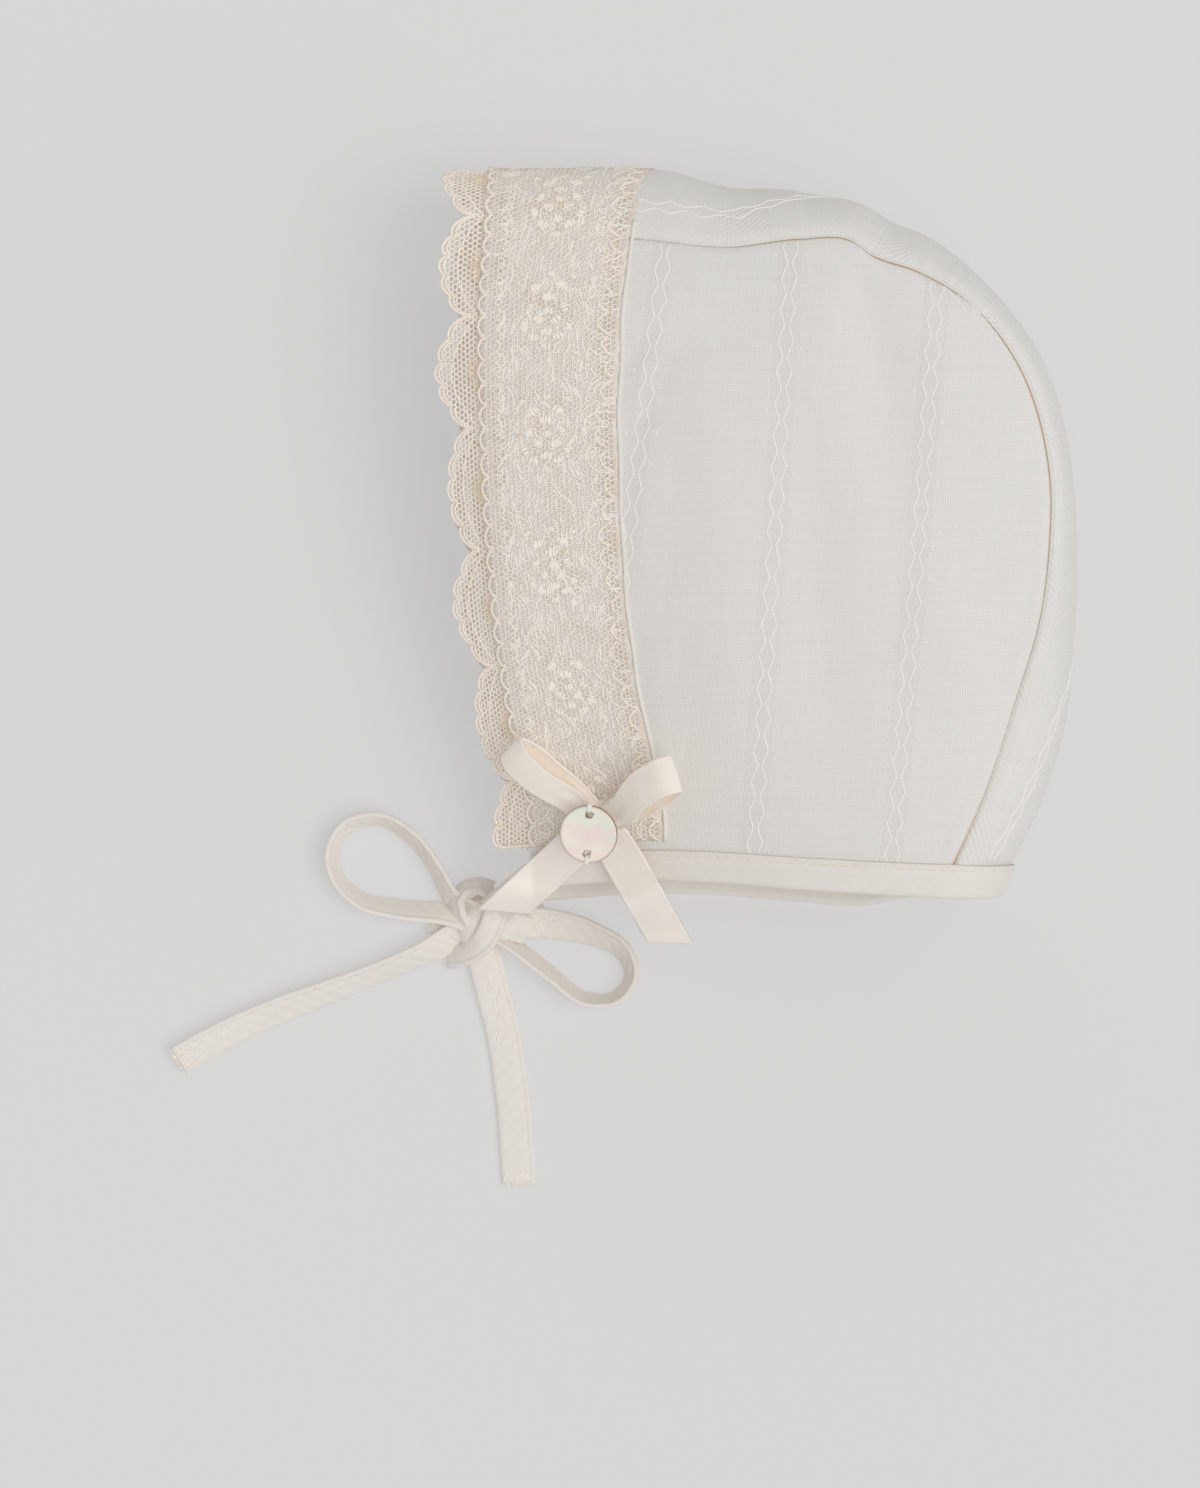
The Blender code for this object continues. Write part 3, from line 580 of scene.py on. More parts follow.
# %% How cloth lies beside a seam
def eased(count, ease=0.78):
    """Shares from 0 to 1 that lie closer together at both ends."""
    even = np.linspace(0, 1, count)
    return even - ease * np.sin(2 * math.pi * even) / (2 * math.pi)


def seam_dip(distance):
    """A swell 2 mm from the seam and a ditch at the seam: two Gaussians of the distance."""
    swell = 0.20 * MM * np.exp(-(((distance - 2.0 * MM) / (1.3 * MM)) ** 2))
    return swell - 0.42 * MM * np.exp(-((distance / (0.38 * MM)) ** 2))


SEAM_LENGTH = 0.300
PUCKERS = (
    # place along the seam, half the length, pleats' height in mm, as shares of the seam
    (0.12, 0.05, 0.05),
    (0.31, 0.05, 0.06),
    (0.44, 0.032, 0.30),
    (0.52, 0.05, 0.10),
    (0.70, 0.07, 0.05),
    (0.90, 0.05, 0.08),
)


def puckers(shares, distance):
    """Short pleats across the seam: a sine along it, that dies out a few mm away."""
    phase = shares * SEAM_LENGTH / (2.9 * MM)
    wave = np.sin(2 * math.pi * (phase + 0.35 * np.sin(1.7 * phase)))
    strength = sum(height * np.exp(-(((shares - at) / half) ** 2)) for at, half, height in PUCKERS)
    return MM * strength * wave * np.exp(-distance / (5.5 * MM)) * ramp(distance / (0.8 * MM))


CREASES = (
    # x, y, turn, length, width, height, all in mm and degrees
    (-30.0, 38.0, 62.0, 9.0, 2.2, 0.35),
    (-31.0, 26.0, 66.0, 8.0, 2.0, -0.30),
    (-29.0, 10.0, 78.0, 12.0, 2.4, 0.25),
    (-27.0, -24.0, 82.0, 12.0, 2.6, 0.25),
    (-24.0, -45.0, 70.0, 9.0, 3.0, -0.35),
    (13.0, 55.0, -38.0, 7.0, 2.2, -0.35),
    (17.0, 52.0, -52.0, 6.0, 1.8, 0.25),
    (-12.0, 56.0, -8.0, 11.0, 2.6, 0.20),
    (36.0, -30.0, 74.0, 16.0, 2.6, 0.25),
    (10.0, -50.0, 4.0, 18.0, 3.0, 0.20),
)


def creases(points):
    """Small folds, listed one by one, and a slow unevenness: Gaussians and sines of x and y."""
    total = np.zeros(points.shape[:-1])
    for x, y, turn, length, width, height in CREASES:
        run = (math.cos(math.radians(turn)), math.sin(math.radians(turn)))
        ahead = ((points[..., 0] / MM - x) * run[0] + (points[..., 1] / MM - y) * run[1]) / length
        aside = ((points[..., 1] / MM - y) * run[0] - (points[..., 0] / MM - x) * run[1]) / width
        total += height * np.exp(-(ahead**2) - aside**2)
    x, y = points[..., 0] / MM, points[..., 1] / MM
    total += 0.10 * np.sin(x / 7.1 + 1.3 * np.sin(y / 17.0)) + 0.08 * np.sin(y / 9.3 + np.sin(x / 11.0))
    return MM * total


# %% The left panel, on top
def cloth_wall(name, inner, outer, threads, material, replaces):
    """A piece of cloth between its outer and inner grids."""
    points = np.concatenate([outer.reshape(-1, 3), inner.reshape(-1, 3)])
    uv = np.tile(threads.reshape(-1, 2), (2, 1))
    faces = wall_faces(*inner.shape[:2])
    return add_piece(name, points, faces, material, replaces=(replaces,), uv=uv)


def outer_face(inner, shares, distance, from_edges, from_lace):
    """The inner face moved out by the cloth's thickness, its seams, its pleats and its creases.

    Under the lace band the cloth is flat, so from_lace, the distance behind it, fades them.
    """
    relief = seam_dip(distance) + puckers(shares, distance) + creases(inner) * ramp(from_edges / (6 * MM))
    height = CLOTH + np.where(relief > 0, relief * ramp(from_lace / (3 * MM)), relief)
    return inner + height[..., None] * normals_of(inner)


def distances(points, edge):
    """How far each point of a grid is from its edge point."""
    return np.linalg.norm(points - edge, axis=-1)


across, down = eased(170), eased(190)
left_inner = panel("left", across[:, None], down[None, :])
from_top = distances(left_inner, left_inner[:, :1])
from_back = distances(left_inner, left_inner[-1:, :])
from_front = distances(left_inner, left_inner[:1, :])
nearer_top = from_top < from_back
left_shares = np.where(
    nearer_top, (CROWN_SHARE * across)[:, None], (CROWN_SHARE + (1 - CROWN_SHARE) * down)[None, :]
)
from_seam = np.minimum(from_top, from_back)
from_hem = distances(left_inner, left_inner[:, -1:])
from_edges = np.minimum(np.minimum(from_seam, from_front), from_hem - BINDING_WIDTH)
left_outer = outer_face(left_inner, left_shares, from_seam, from_edges, from_front - 30 * MM)
cloth_wall("left_side", left_inner, left_outer, panel_threads(left_inner), panel_cotton, "left_panel")

# %% The strip over the crown
strip_turn, strip_shares = eased(60), np.linspace(0, 1, 320)
strip_inner = strip(strip_shares[None, :], strip_turn[:, None])
strip_u = lengths_along(strip_inner)
strip_v = lengths_along(strip_inner[len(strip_inner) // 2])[None, :] + np.zeros_like(strip_u)
strip_from_seam = np.minimum(strip_u, strip_u[-1:] - strip_u)
behind_lace = np.exp(-(((strip_v - 47 * MM) / (8 * MM)) ** 2)) * np.sin(math.pi * strip_turn[:, None]) ** 2
strip_inner = strip_inner - (1.5 * MM * behind_lace)[..., None] * normals_of(strip_inner)
strip_outer = outer_face(strip_inner, strip_shares[None, :], strip_from_seam, strip_from_seam, strip_v - 35 * MM)
strip_threads = np.stack([strip_u, strip_v], axis=-1) / MM
cloth_wall("crown_cloth", strip_inner, strip_outer, strip_threads, strip_cotton, "crown_strip")

# %% The right panel, on the floor
right_inner = panel("right", across[None, ::2], down[::2, None])
right_from_seam = np.minimum(distances(right_inner, right_inner[:1]), distances(right_inner, right_inner[:, -1:]))
right_outer = right_inner + (CLOTH + seam_dip(right_from_seam))[..., None] * normals_of(right_inner)
right_outer[..., 2] = np.maximum(right_outer[..., 2], 0.0)
cloth_wall("right_side", right_inner, right_outer, panel_threads(right_inner), panel_cotton, "right_panel")


# %% [markdown]
# ## Threads, rolls and stitches
# A thread is a small profile carried along a path, with the normal of the cloth as its up. A
# stitch or a petal of satin stitch is a grain: an ellipsoid that is long one way and flat
# underneath. Hundreds of grains are made at once, each from a few dozen faces.


# %% Tubes and grains
def carried(path, up, profile):
    """A profile (m, 2) carried along a path: its first axis is up x run, its second is up."""
    run = unit(np.gradient(path, axis=0))
    side = unit(np.cross(up, run))
    up = np.cross(run, side)
    profile = np.broadcast_to(profile, (len(path), *np.shape(profile)[-2:]))
    return path[:, None] + profile[..., :1] * side[:, None] + profile[..., 1:] * up[:, None]


def tube_faces(rows, columns):
    """The skin of a tube and the two many-sided faces that close its ends."""
    ring = np.arange(columns)[None, :]
    return [grid_faces(rows, columns, ring=True), ring[:, ::-1], ring + (rows - 1) * columns]


def circle(radius, sides, flat=1.0):
    """The corners of a polygon on a circle, pressed flat."""
    angle = 2 * math.pi * np.arange(sides) / sides
    return radius * np.stack([np.cos(angle), flat * np.sin(angle)], axis=-1)


def path_uv(points):
    """Millimetres along and round a tube, for its twist or weave."""
    run, around = lengths_along(points[:, 0]), lengths_along(points[0])
    return np.stack(np.broadcast_arrays(around[None, :], run[:, None]), axis=-1).reshape(-1, 2) / MM


def grain_shape(rings, sides):
    """A closed unit grain: rings of points between two tips, and its faces."""
    angle = math.pi * np.arange(1, rings + 1) / (rings + 1)
    turn = 2 * math.pi * np.arange(sides) / sides
    length = np.repeat(-np.cos(angle), sides)
    width = (np.sin(angle)[:, None] * np.cos(turn)).ravel()
    height = (np.sin(angle)[:, None] * np.sin(turn)).ravel()
    points = np.stack([length, width, height], axis=-1)
    points = np.concatenate([points, [[-1.0, 0.0, 0.0], [1.0, 0.0, 0.0]]])
    ring = np.arange(sides)
    after = np.roll(ring, -1)
    tail, head = np.full(sides, rings * sides), np.full(sides, rings * sides + 1)
    last = (rings - 1) * sides
    tips = [np.stack([tail, after, ring], -1), np.stack([last + ring, last + after, head], -1)]
    return points, grid_faces(rings, sides, ring=True), np.concatenate(tips)


def grains(places, turns, sizes, base, rings=3, sides=6):
    """Many flat-bottomed grains in the flat drawing, as (row way, column way, height) points.

    A grain points along its turn, measured from the row way towards the column way. sizes are
    length, width and height, and base is how high the grain's middle lies.
    """
    shape, quads, tips = grain_shape(rings, sides)
    turns = np.broadcast_to(turns, len(places))[:, None]
    sizes = np.broadcast_to(sizes, (len(places), 3))[:, None]
    ahead, aside = 0.5 * sizes[..., 0] * shape[:, 0], 0.5 * sizes[..., 1] * shape[:, 1]
    row = places[:, None, 0] + ahead * np.cos(turns) + aside * np.sin(turns)
    column = places[:, None, 1] + ahead * np.sin(turns) - aside * np.cos(turns)
    height = base + sizes[..., 2] * np.where(shape[:, 2] > 0, shape[:, 2], 0.3 * shape[:, 2])
    first = len(shape) * np.arange(len(places))[:, None, None]
    faces = [(quads + first).reshape(-1, 4), (tips + first).reshape(-1, 3)]
    crest = np.tile(0.35 + 0.65 * np.maximum(shape[:, 2], 0), len(places))
    return np.stack([row, column, height], axis=-1).reshape(-1, 3), faces, crest


def flat_cords(lines, width, height, base, sides=6):
    """Raised cords along many flat lines of equal length, ending in points.

    lines is (number, points, 2). Each ring is half an ellipse over a shallow one.
    """
    run = unit(np.gradient(lines, axis=1))
    angle = 2 * math.pi * np.arange(sides) / sides
    across = 0.5 * width * np.cos(angle)
    rise = height * np.where(np.sin(angle) > 0, np.sin(angle), 0.3 * np.sin(angle))
    taper = np.ones(lines.shape[1])
    taper[[0, -1]] = 0.25
    row = lines[..., 0, None] + run[..., 1, None] * across * taper[:, None]
    column = lines[..., 1, None] - run[..., 0, None] * across * taper[:, None]
    up = np.broadcast_to(base + rise * taper[:, None], row.shape)
    one = tube_faces(lines.shape[1], sides)
    first = lines.shape[1] * sides * np.arange(len(lines))[:, None, None]
    faces = [(part + first).reshape(-1, part.shape[1]) for part in one]
    crest = np.broadcast_to(0.35 + 0.65 * np.maximum(np.sin(angle), 0), row.shape).ravel()
    return np.stack([row, column, up], axis=-1).reshape(-1, 3), faces, crest


def merged(parts):
    """Several (points, faces, crest) sets as one."""
    points = np.concatenate([part[0] for part in parts])
    offsets = np.concatenate([[0], np.cumsum([len(part[0]) for part in parts])])
    faces = [face + offset for part, offset in zip(parts, offsets) for face in part[1]]
    return points, faces, np.concatenate([part[2] for part in parts])


# %% [markdown]
# ## Lace yarn
# The lace is cotton too, but it is the undyed ivory of raw yarn. Deep between the threads the
# light bounces from yarn to yarn and comes out warm tan, so the colour goes from tan at the foot
# of each thread to ivory on its crest. The spun yarn gives a fine grain.


# %% Lace finishes
def spun_yarn(name, crest_colour, foot_colour, roughness=0.82, glow=0.08):
    """Yarn whose colour follows the crest attribute, with a fine fibre grain in its tone.

    Light bounces dozens of times between white threads, more than a render follows, and the
    small glow stands for what is lost.
    """
    yarn, shader = new_finish(name, roughness, Sheen_Weight=0.15, Specular_IOR_Level=0.25)
    let_glow(shader, "#FBE9D4", glow)
    add = partial(add_node, yarn)
    crest = add("Attribute", {"attribute_name": "crest"}).outputs["Fac"]
    place = add("TexCoord").outputs["Object"]
    grain = add("TexNoise", (), {"Vector": place, "Scale": 2600.0, "Detail": 2.0})
    patch = add("TexNoise", (), {"Vector": place, "Scale": 260.0, "Detail": 2.0})
    patched = add("Math", "MULTIPLY_ADD", [patch, 0.5, add("Math", "MULTIPLY_ADD", [grain, 0.25, -0.22])])
    total = add("Math", "ADD", [crest, patched])
    tone = add("MixRGB", {"use_clamp": True}, [total, linear(foot_colour), linear(crest_colour)])
    set_surface(yarn, shader, tone, grain, 0.3, 0.0001)
    return yarn


net_yarn = spun_yarn("net_yarn", "#FBF3E9", "#EFDFCB", glow=0.115)
band_net_yarn = spun_yarn("band_net_yarn", "#F8F4EE", "#E6DACB", glow=0.07)
outline_yarn = spun_yarn("outline_yarn", "#FAF2E8", "#E8D5BD", glow=0.09)
satin_stitch = spun_yarn("satin_stitch_cotton", "#FBF6EE", "#ECDCC6", roughness=0.6)
tan_yarn = spun_yarn("tan_yarn", "#F0E0CC", "#E2CBAE", glow=0.07)
# Its tan stands in for the shade in the crown seam's ditch: painted shade.
sewing_thread = spun_yarn("sewing_thread_tan_painted_shade", "#DDC0A0", "#C6A480", roughness=0.6)
white_thread = spun_yarn("ivory_sewing_thread", "#FBF8F2", "#E0D6C6", roughness=0.6)
dobby_yarn = spun_yarn("dobby_yarn", "#F8F6F2", "#EDEBE6", roughness=0.7, glow=0.045)
print("lace and thread materials are ready")

# %% [markdown]
# ## A flat board for the lace
# The lace band goes round the face from one corner of the neck to the other. Its flat drawing
# has s, the millimetres round the face, and t, the millimetres behind the front fold, with the
# scalloped edging at negative t. A grid over the hood's front says where each (s, t) lies.

# %% The board
AHEAD, BEHIND, BOARD_STEP = 13.0, 38.0, 0.5
EDGING_REACH, SCALLOP_VALLEY, SUB_SCALLOPS = 9.9, 0.42, 5
VALLEYS = np.array((-9.5, 15.4, 41.0, 65.9, 90.8, 113.5, 133.9, 157, 180, 203, 227, 251, 275, 299, 319.6))
FLARE = np.array(
    (
        # place round the face in mm, how much wider the band is than at rest
        (0, 1.13),
        (18, 1.11),
        (36, 1.07),
        (60, 1.05),
        (93, 1.05),
        (113, 1.07),
        (130, 1.09),
        (146, 1.15),
        (158, 1.23),
        (172, 1.20),
        (200, 1.06),
        (316, 1.03),
    )
)


def behind_front(surface, depths, span, steps=140):
    """Points at true distances behind the front fold, along each of a surface's own lines."""
    lines = surface(np.linspace(0, span, steps))
    lengths = lengths_along(lines, axis=1)
    after = (lengths[:, None, :] <= depths[None, :, None]).sum(axis=-1).clip(1, steps - 1)
    row = np.arange(len(lines))[:, None]
    low, high = lengths[row, after - 1], lengths[row, after]
    share = ((depths - low) / (high - low))[..., None]
    return lines[row, after - 1] * (1 - share) + lines[row, after] * share


def lay_out_board():
    """The grid over the hood's front, ahead of the fold and behind it."""
    face_down, face_turn = np.linspace(0, BAND_END, 190), np.linspace(0, 1, 74)[1:-1, None]
    depths = np.arange(0, BEHIND, BOARD_STEP) * MM
    rows = [
        behind_front(lambda a: panel("left", a[None, :], face_down[::-1, None]), depths, 0.5),
        behind_front(lambda s: strip(s[None, :], face_turn), depths, 0.4),
        behind_front(lambda a: panel("right", a[None, :], face_down[:, None]), depths, 0.5),
    ]
    hood = np.vstack(rows)
    forward = unit(hood[:, 0] - hood[:, 2])
    out = np.arange(round(AHEAD / BOARD_STEP), 0, -1) * BOARD_STEP * MM
    ahead = hood[:, :1] + forward[:, None] * out[None, :, None]
    ahead[..., 2] = np.maximum(ahead[..., 2], LACE)
    return np.concatenate([ahead, hood], axis=1)


board = lay_out_board()
board_normals = normals_of(board)
fold_column = round(AHEAD / BOARD_STEP)
board_s = lengths_along(board[:, fold_column]) / MM
FACE_LENGTH = board_s[-1]
print(f"the face is {FACE_LENGTH:.0f} mm round, with {len(VALLEYS) - 1} scallops")


def scallops_at(s):
    """How many scallops lie before s, with parts of them. They were sewn on unevenly."""
    return np.interp(s, VALLEYS, np.arange(len(VALLEYS)))


def small_scallops(s):
    """0 between two small scallops and 1 in their middle."""
    return np.abs(np.sin(math.pi * SUB_SCALLOPS * scallops_at(s)))


def on_board(drawing):
    """Lifts (s, t, height) in millimetres on to the hood. The band is wider at the crown."""
    row = np.interp(drawing[..., 0], board_s, np.arange(len(board_s)))
    across_it = drawing[..., 1]
    across_it = np.where(across_it > 0, across_it * np.interp(drawing[..., 0], *FLARE.T), across_it)
    place = np.stack([row, (across_it + AHEAD) / BOARD_STEP], axis=-1)
    lifted = between(board, place) + drawing[..., 2:] * MM * between(board_normals, place)
    lifted[..., 2] = np.maximum(lifted[..., 2], 0.0)
    return lifted


def add_lace(name, parts, material, replaces=()):
    """Lace drawn flat, lifted on to the hood."""
    points, faces, crest = merged(parts)
    return add_piece(name, on_board(points), faces, material, replaces=replaces, crest=crest)


# %% [markdown]
# ## Net
# Net is a mesh of hexagonal holes. Each thread between two holes is drawn as a low ridge: the
# corners where threads meet are shared by three holes, and each hole has its own rim. So the net
# is one closed body, and every hole is a real hole.


# %% Net
def hexagon_net(t_start, t_end, pitch, thread, height, base, inside, uneven=0.07):
    """Holes on a triangular lattice. Corners have whole-number keys, so neighbours share them.

    In steps of a third of the column spacing and half the pitch, a hole's corners are two or
    one steps aside and none or one along.
    """
    spacing = pitch * math.sqrt(0.75)
    column = np.arange(int((t_end - t_start) / spacing))
    row = np.arange(int(FACE_LENGTH / pitch))
    column, row = (part.ravel() for part in np.meshgrid(column, row))
    centre_s, centre_t = (row + 0.5 * (column % 2)) * pitch, t_start + column * spacing
    kept = inside(centre_s, centre_t)
    column, row = column[kept], row[kept]
    key_t = 3 * column[:, None] + np.array([2, 1, -1, -2, -1, 1])
    key_s = 2 * row[:, None] + column[:, None] % 2 + np.array([0, 1, 1, 0, -1, -1])
    keys, corner = np.unique(np.stack([key_s.ravel(), key_t.ravel()], axis=-1), axis=0, return_inverse=True)
    corner = corner.reshape(-1, 6)
    spots = keys * [0.5 * pitch, spacing / 3] + [0.0, t_start]
    spots = spots + rng.uniform(-uneven, uneven, spots.shape) * pitch
    around = spots[corner]
    middle = around.mean(axis=1, keepdims=True)
    rims = (middle + (around - middle) * (1 - thread / pitch)).reshape(-1, 2)
    count = len(spots)
    rim = 2 * count + np.arange(len(rims)).reshape(-1, 6)
    rim_next, corner_next = np.roll(rim, -1, axis=1), np.roll(corner, -1, axis=1)
    top = np.stack([corner, corner_next, rim_next, rim], axis=-1).reshape(-1, 4)
    foot = np.stack([corner_next + count, corner + count, rim, rim_next], axis=-1).reshape(-1, 4)
    pairs = np.stack([corner.ravel(), corner_next.ravel()], axis=-1)
    _, which, times = np.unique(np.sort(pairs, axis=1), axis=0, return_inverse=True, return_counts=True)
    edge = pairs[times[which.ravel()] == 1]
    wall = np.stack([edge[:, 1], edge[:, 0], edge[:, 0] + count, edge[:, 1] + count], axis=-1)
    flat = np.concatenate([spots, spots, rims])
    heights = np.repeat([height, 0.0, 0.4 * height], [count, count, len(rims)])
    crest = np.repeat([1.0, 0.1, 0.15], [count, count, len(rims)])
    return np.column_stack([flat, base + heights]), [top, foot, wall], crest


def scallop_reach(s):
    """How far the edging stands ahead of the fold: big arches with small ones on their rim.

    Two arches stand out further. On the side that lies on the floor all are drawn in a little.
    """
    arch = np.abs(np.sin(math.pi * scallops_at(s))) ** 0.65
    reach = EDGING_REACH * (SCALLOP_VALLEY + (1 - SCALLOP_VALLEY) * arch) - 1.2 + 1.4 * small_scallops(s) ** 0.6
    longer = np.exp(-(((s - 55.0) / 9.0) ** 2)) + np.exp(-(((s - 101.0) / 9.0) ** 2))
    return reach * (1 + 0.15 * longer - 0.22 * ramp((s - 160.0) / 16.0))


EDGING_LIE, BAND_LIE = 0.35, 1.15
first_cut = np.ceil(SUB_SCALLOPS * scallops_at(0.0)) / SUB_SCALLOPS
last_cut = (np.ceil(SUB_SCALLOPS * scallops_at(FACE_LENGTH)) - 1) / SUB_SCALLOPS
RIM_ENDS = np.interp([first_cut, last_cut], np.arange(len(VALLEYS)), VALLEYS)


def in_edging(s, t):
    """True where the edging's net lies: between its rims and ahead of the fold."""
    return (s > RIM_ENDS[0] + 0.3) & (s < RIM_ENDS[1] - 0.3) & (t < -0.2) & (-t < scallop_reach(s) - 0.5)


def in_band(s, t):
    """True where the band's net lies."""
    return (s > 0.6) & (s < FACE_LENGTH - 0.6)


edging_net = hexagon_net(-AHEAD, 0.5, 1.12, 0.42, 0.18, EDGING_LIE, in_edging)
add_lace("lace_edging_net", [edging_net], net_yarn, replaces=("lace_edging",))
band_net = hexagon_net(0.8, 27.4, 1.05, 0.40, 0.07, BAND_LIE, in_band, uneven=0.15)
add_lace("lace_band_net", [band_net], band_net_yarn, replaces=("lace_band",))

# %% [markdown]
# ## Scallops, borders and garland
# The rim of the edging is covered with close stitches that stand across it, and a heavier cord
# runs inside them. Each big scallop has a small fan of stitches at its foot. The band has a
# scalloped border on each side. Between them lies a garland of traditional motifs, a bunch of
# satin-stitch buds in each repeat with short tan grains under and round the bunches as painted
# shade, and loose curls of yarn over all of it.


# %% Stitched rims
def rim_line(reach, points=12):
    """A line of (s, t) over the whole face, cut into one piece for each small scallop."""
    cuts = np.arange(math.ceil(SUB_SCALLOPS * scallops_at(0.0)), SUB_SCALLOPS * scallops_at(FACE_LENGTH))
    pieces = len(cuts) - 1
    turns = np.linspace(cuts[0], cuts[-1], pieces * points + 1) / SUB_SCALLOPS
    s = np.interp(turns, np.arange(len(VALLEYS)), VALLEYS)
    line = np.stack([s, reach(s)], axis=-1)
    starts = points * np.arange(pieces)[:, None] + np.arange(points + 1)[None, :]
    return line, line[starts]


def rim_stitches(line, gap, size, base):
    """Grains across a line, one every gap millimetres."""
    lengths = lengths_along(line)
    places = np.arange(0.5 * gap, lengths[-1], gap)
    spots = np.stack([np.interp(places, lengths, line[:, k]) for k in range(2)], axis=-1)
    run = np.stack([np.interp(places, lengths, np.gradient(line[:, k])) for k in range(2)], axis=-1)
    turns = np.arctan2(run[:, 1], run[:, 0]) + math.pi / 2
    turns = turns + rng.uniform(-0.25, 0.25, len(turns))
    sizes = np.array(size) * rng.uniform(0.85, 1.15, (len(turns), 1))
    return grains(spots, turns, sizes, base, rings=2, sides=4)


rim, rim_pieces = rim_line(lambda s: -scallop_reach(s) + 0.15)
inner_pieces = rim_line(lambda s: -scallop_reach(s) + 1.15)[1]


def ring_floor(s):
    """The inner side of the small rings along the rim."""
    return np.minimum(-scallop_reach(s) + 2.9 + 1.3 * small_scallops(s) ** 0.6, -0.9)


ring_line, ring_pieces = rim_line(ring_floor)
end_shares = np.linspace(0.03, 1.0, 12)
end_lines = [np.stack([0 * end_shares + s, -end_shares * (scallop_reach(s) - 0.15)], axis=-1) for s in RIM_ENDS]
edging_parts = [
    flat_cords(np.stack(end_lines), 0.5, 0.30, EDGING_LIE),
    *[rim_stitches(line, 0.62, (1.1, 0.34, 0.24), EDGING_LIE + 0.1) for line in end_lines],
    flat_cords(rim_pieces, 0.55, 0.30, EDGING_LIE),
    flat_cords(inner_pieces, 0.42, 0.26, EDGING_LIE),
    flat_cords(ring_pieces, 0.36, 0.24, EDGING_LIE),
    rim_stitches(rim, 0.62, (1.25, 0.34, 0.24), EDGING_LIE + 0.1),
    rim_stitches(ring_line, 0.9, (0.8, 0.3, 0.22), EDGING_LIE + 0.1),
]
add_lace("lace_edging_rim", edging_parts, outline_yarn)


# %% Fans at the foot of the scallops
def fan_places(centres, foot, radius, count, spread, size):
    """count grains round each centre, spread over an angle, pointing away from the centre."""
    angle = np.linspace(-spread, spread, count)
    s = centres[:, None] + radius * np.sin(angle)
    t = foot - radius * np.cos(angle) + 0 * centres[:, None]
    turns = np.broadcast_to(np.arctan2(-np.cos(angle), np.sin(angle)), s.shape)
    return np.stack([s.ravel(), t.ravel()], axis=-1), turns.ravel(), size


scallop_tips = 0.5 * (VALLEYS[1:] + VALLEYS[:-1])
scallop_tips = scallop_tips[(scallop_tips > 3) & (scallop_tips < FACE_LENGTH - 3)]
fans = [
    grains(*fan_places(scallop_tips, -0.4, 2.2, 9, 1.25, (2.9, 0.42, 0.20)), EDGING_LIE + 0.15),
    grains(*fan_places(scallop_tips, -0.2, 0.6, 5, 1.2, (1.2, 0.5, 0.3)), EDGING_LIE + 0.15),
]
add_lace("lace_edging_fans", fans, tan_yarn)


# %% Borders of the band
def left_border(s):
    """Small arches that open away from the fold."""
    return 1.3 - 1.5 * small_scallops(s) ** 0.7


def right_border(s):
    """The same arches, turned towards the fold, with a slow wave along them."""
    return 26.4 - 2.4 * small_scallops(s) ** 0.7 - 0.9 * np.cos(2 * math.pi * scallops_at(s))


left_line, left_pieces = rim_line(left_border)
right_line, right_pieces = rim_line(right_border)
edge_pieces = rim_line(lambda s: 3.9 + 0.5 * np.sin(2 * math.pi * scallops_at(s) * 10))[1]
wave_line, wave_pieces = rim_line(lambda s: right_border(s) - 2.6)
border_parts = [
    flat_cords(left_pieces, 0.50, 0.24, BAND_LIE),
    flat_cords(right_pieces, 0.36, 0.20, BAND_LIE),
    flat_cords(edge_pieces, 0.30, 0.16, BAND_LIE),
    flat_cords(wave_pieces, 0.30, 0.16, BAND_LIE),
    rim_stitches(left_line, 0.55, (1.35, 0.30, 0.20), BAND_LIE + 0.08),
    rim_stitches(right_line, 0.66, (1.40, 0.28, 0.18), BAND_LIE + 0.08),
    rim_stitches(wave_line, 0.9, (0.8, 0.26, 0.16), BAND_LIE + 0.08),
]
add_lace("lace_band_borders", border_parts, outline_yarn)


# %% Bunches of buds, and the painted shade round them
BERRIES = (
    # along, across from the band's middle, turn in degrees, size: a bunch of satin-stitch buds
    (5.6, 2.6, 30.0, 2.3),
    (5.3, -2.4, -30.0, 2.3),
    (3.4, 0.2, 0.0, 2.4),
    (1.2, 3.4, 60.0, 2.0),
    (1.0, -3.3, -60.0, 2.0),
    (0.6, 0.4, 0.0, 1.9),
    (-1.2, 1.9, 140.0, 2.1),
    (-1.3, -1.6, 220.0, 2.1),
    (-2.4, 4.4, 110.0, 2.0),
    (-2.6, -4.3, 250.0, 2.0),
    (-3.6, 0.2, 180.0, 2.2),
    (-4.6, 2.6, 160.0, 2.0),
    (-4.8, -2.4, 200.0, 2.0),
    (-6.6, 0.2, 180.0, 1.7),
    (8.2, 0.4, 0.0, 1.5),
    (7.6, 4.6, 40.0, 1.4),
    (7.3, -4.6, -40.0, 1.4),
)
BAND_MIDDLE = 13.2
BUNCHES = np.array((9.5, 35.5, 61.6, 88.5, 113.5, 137.0, 160, 184, 208, 232, 256, 280, 304))


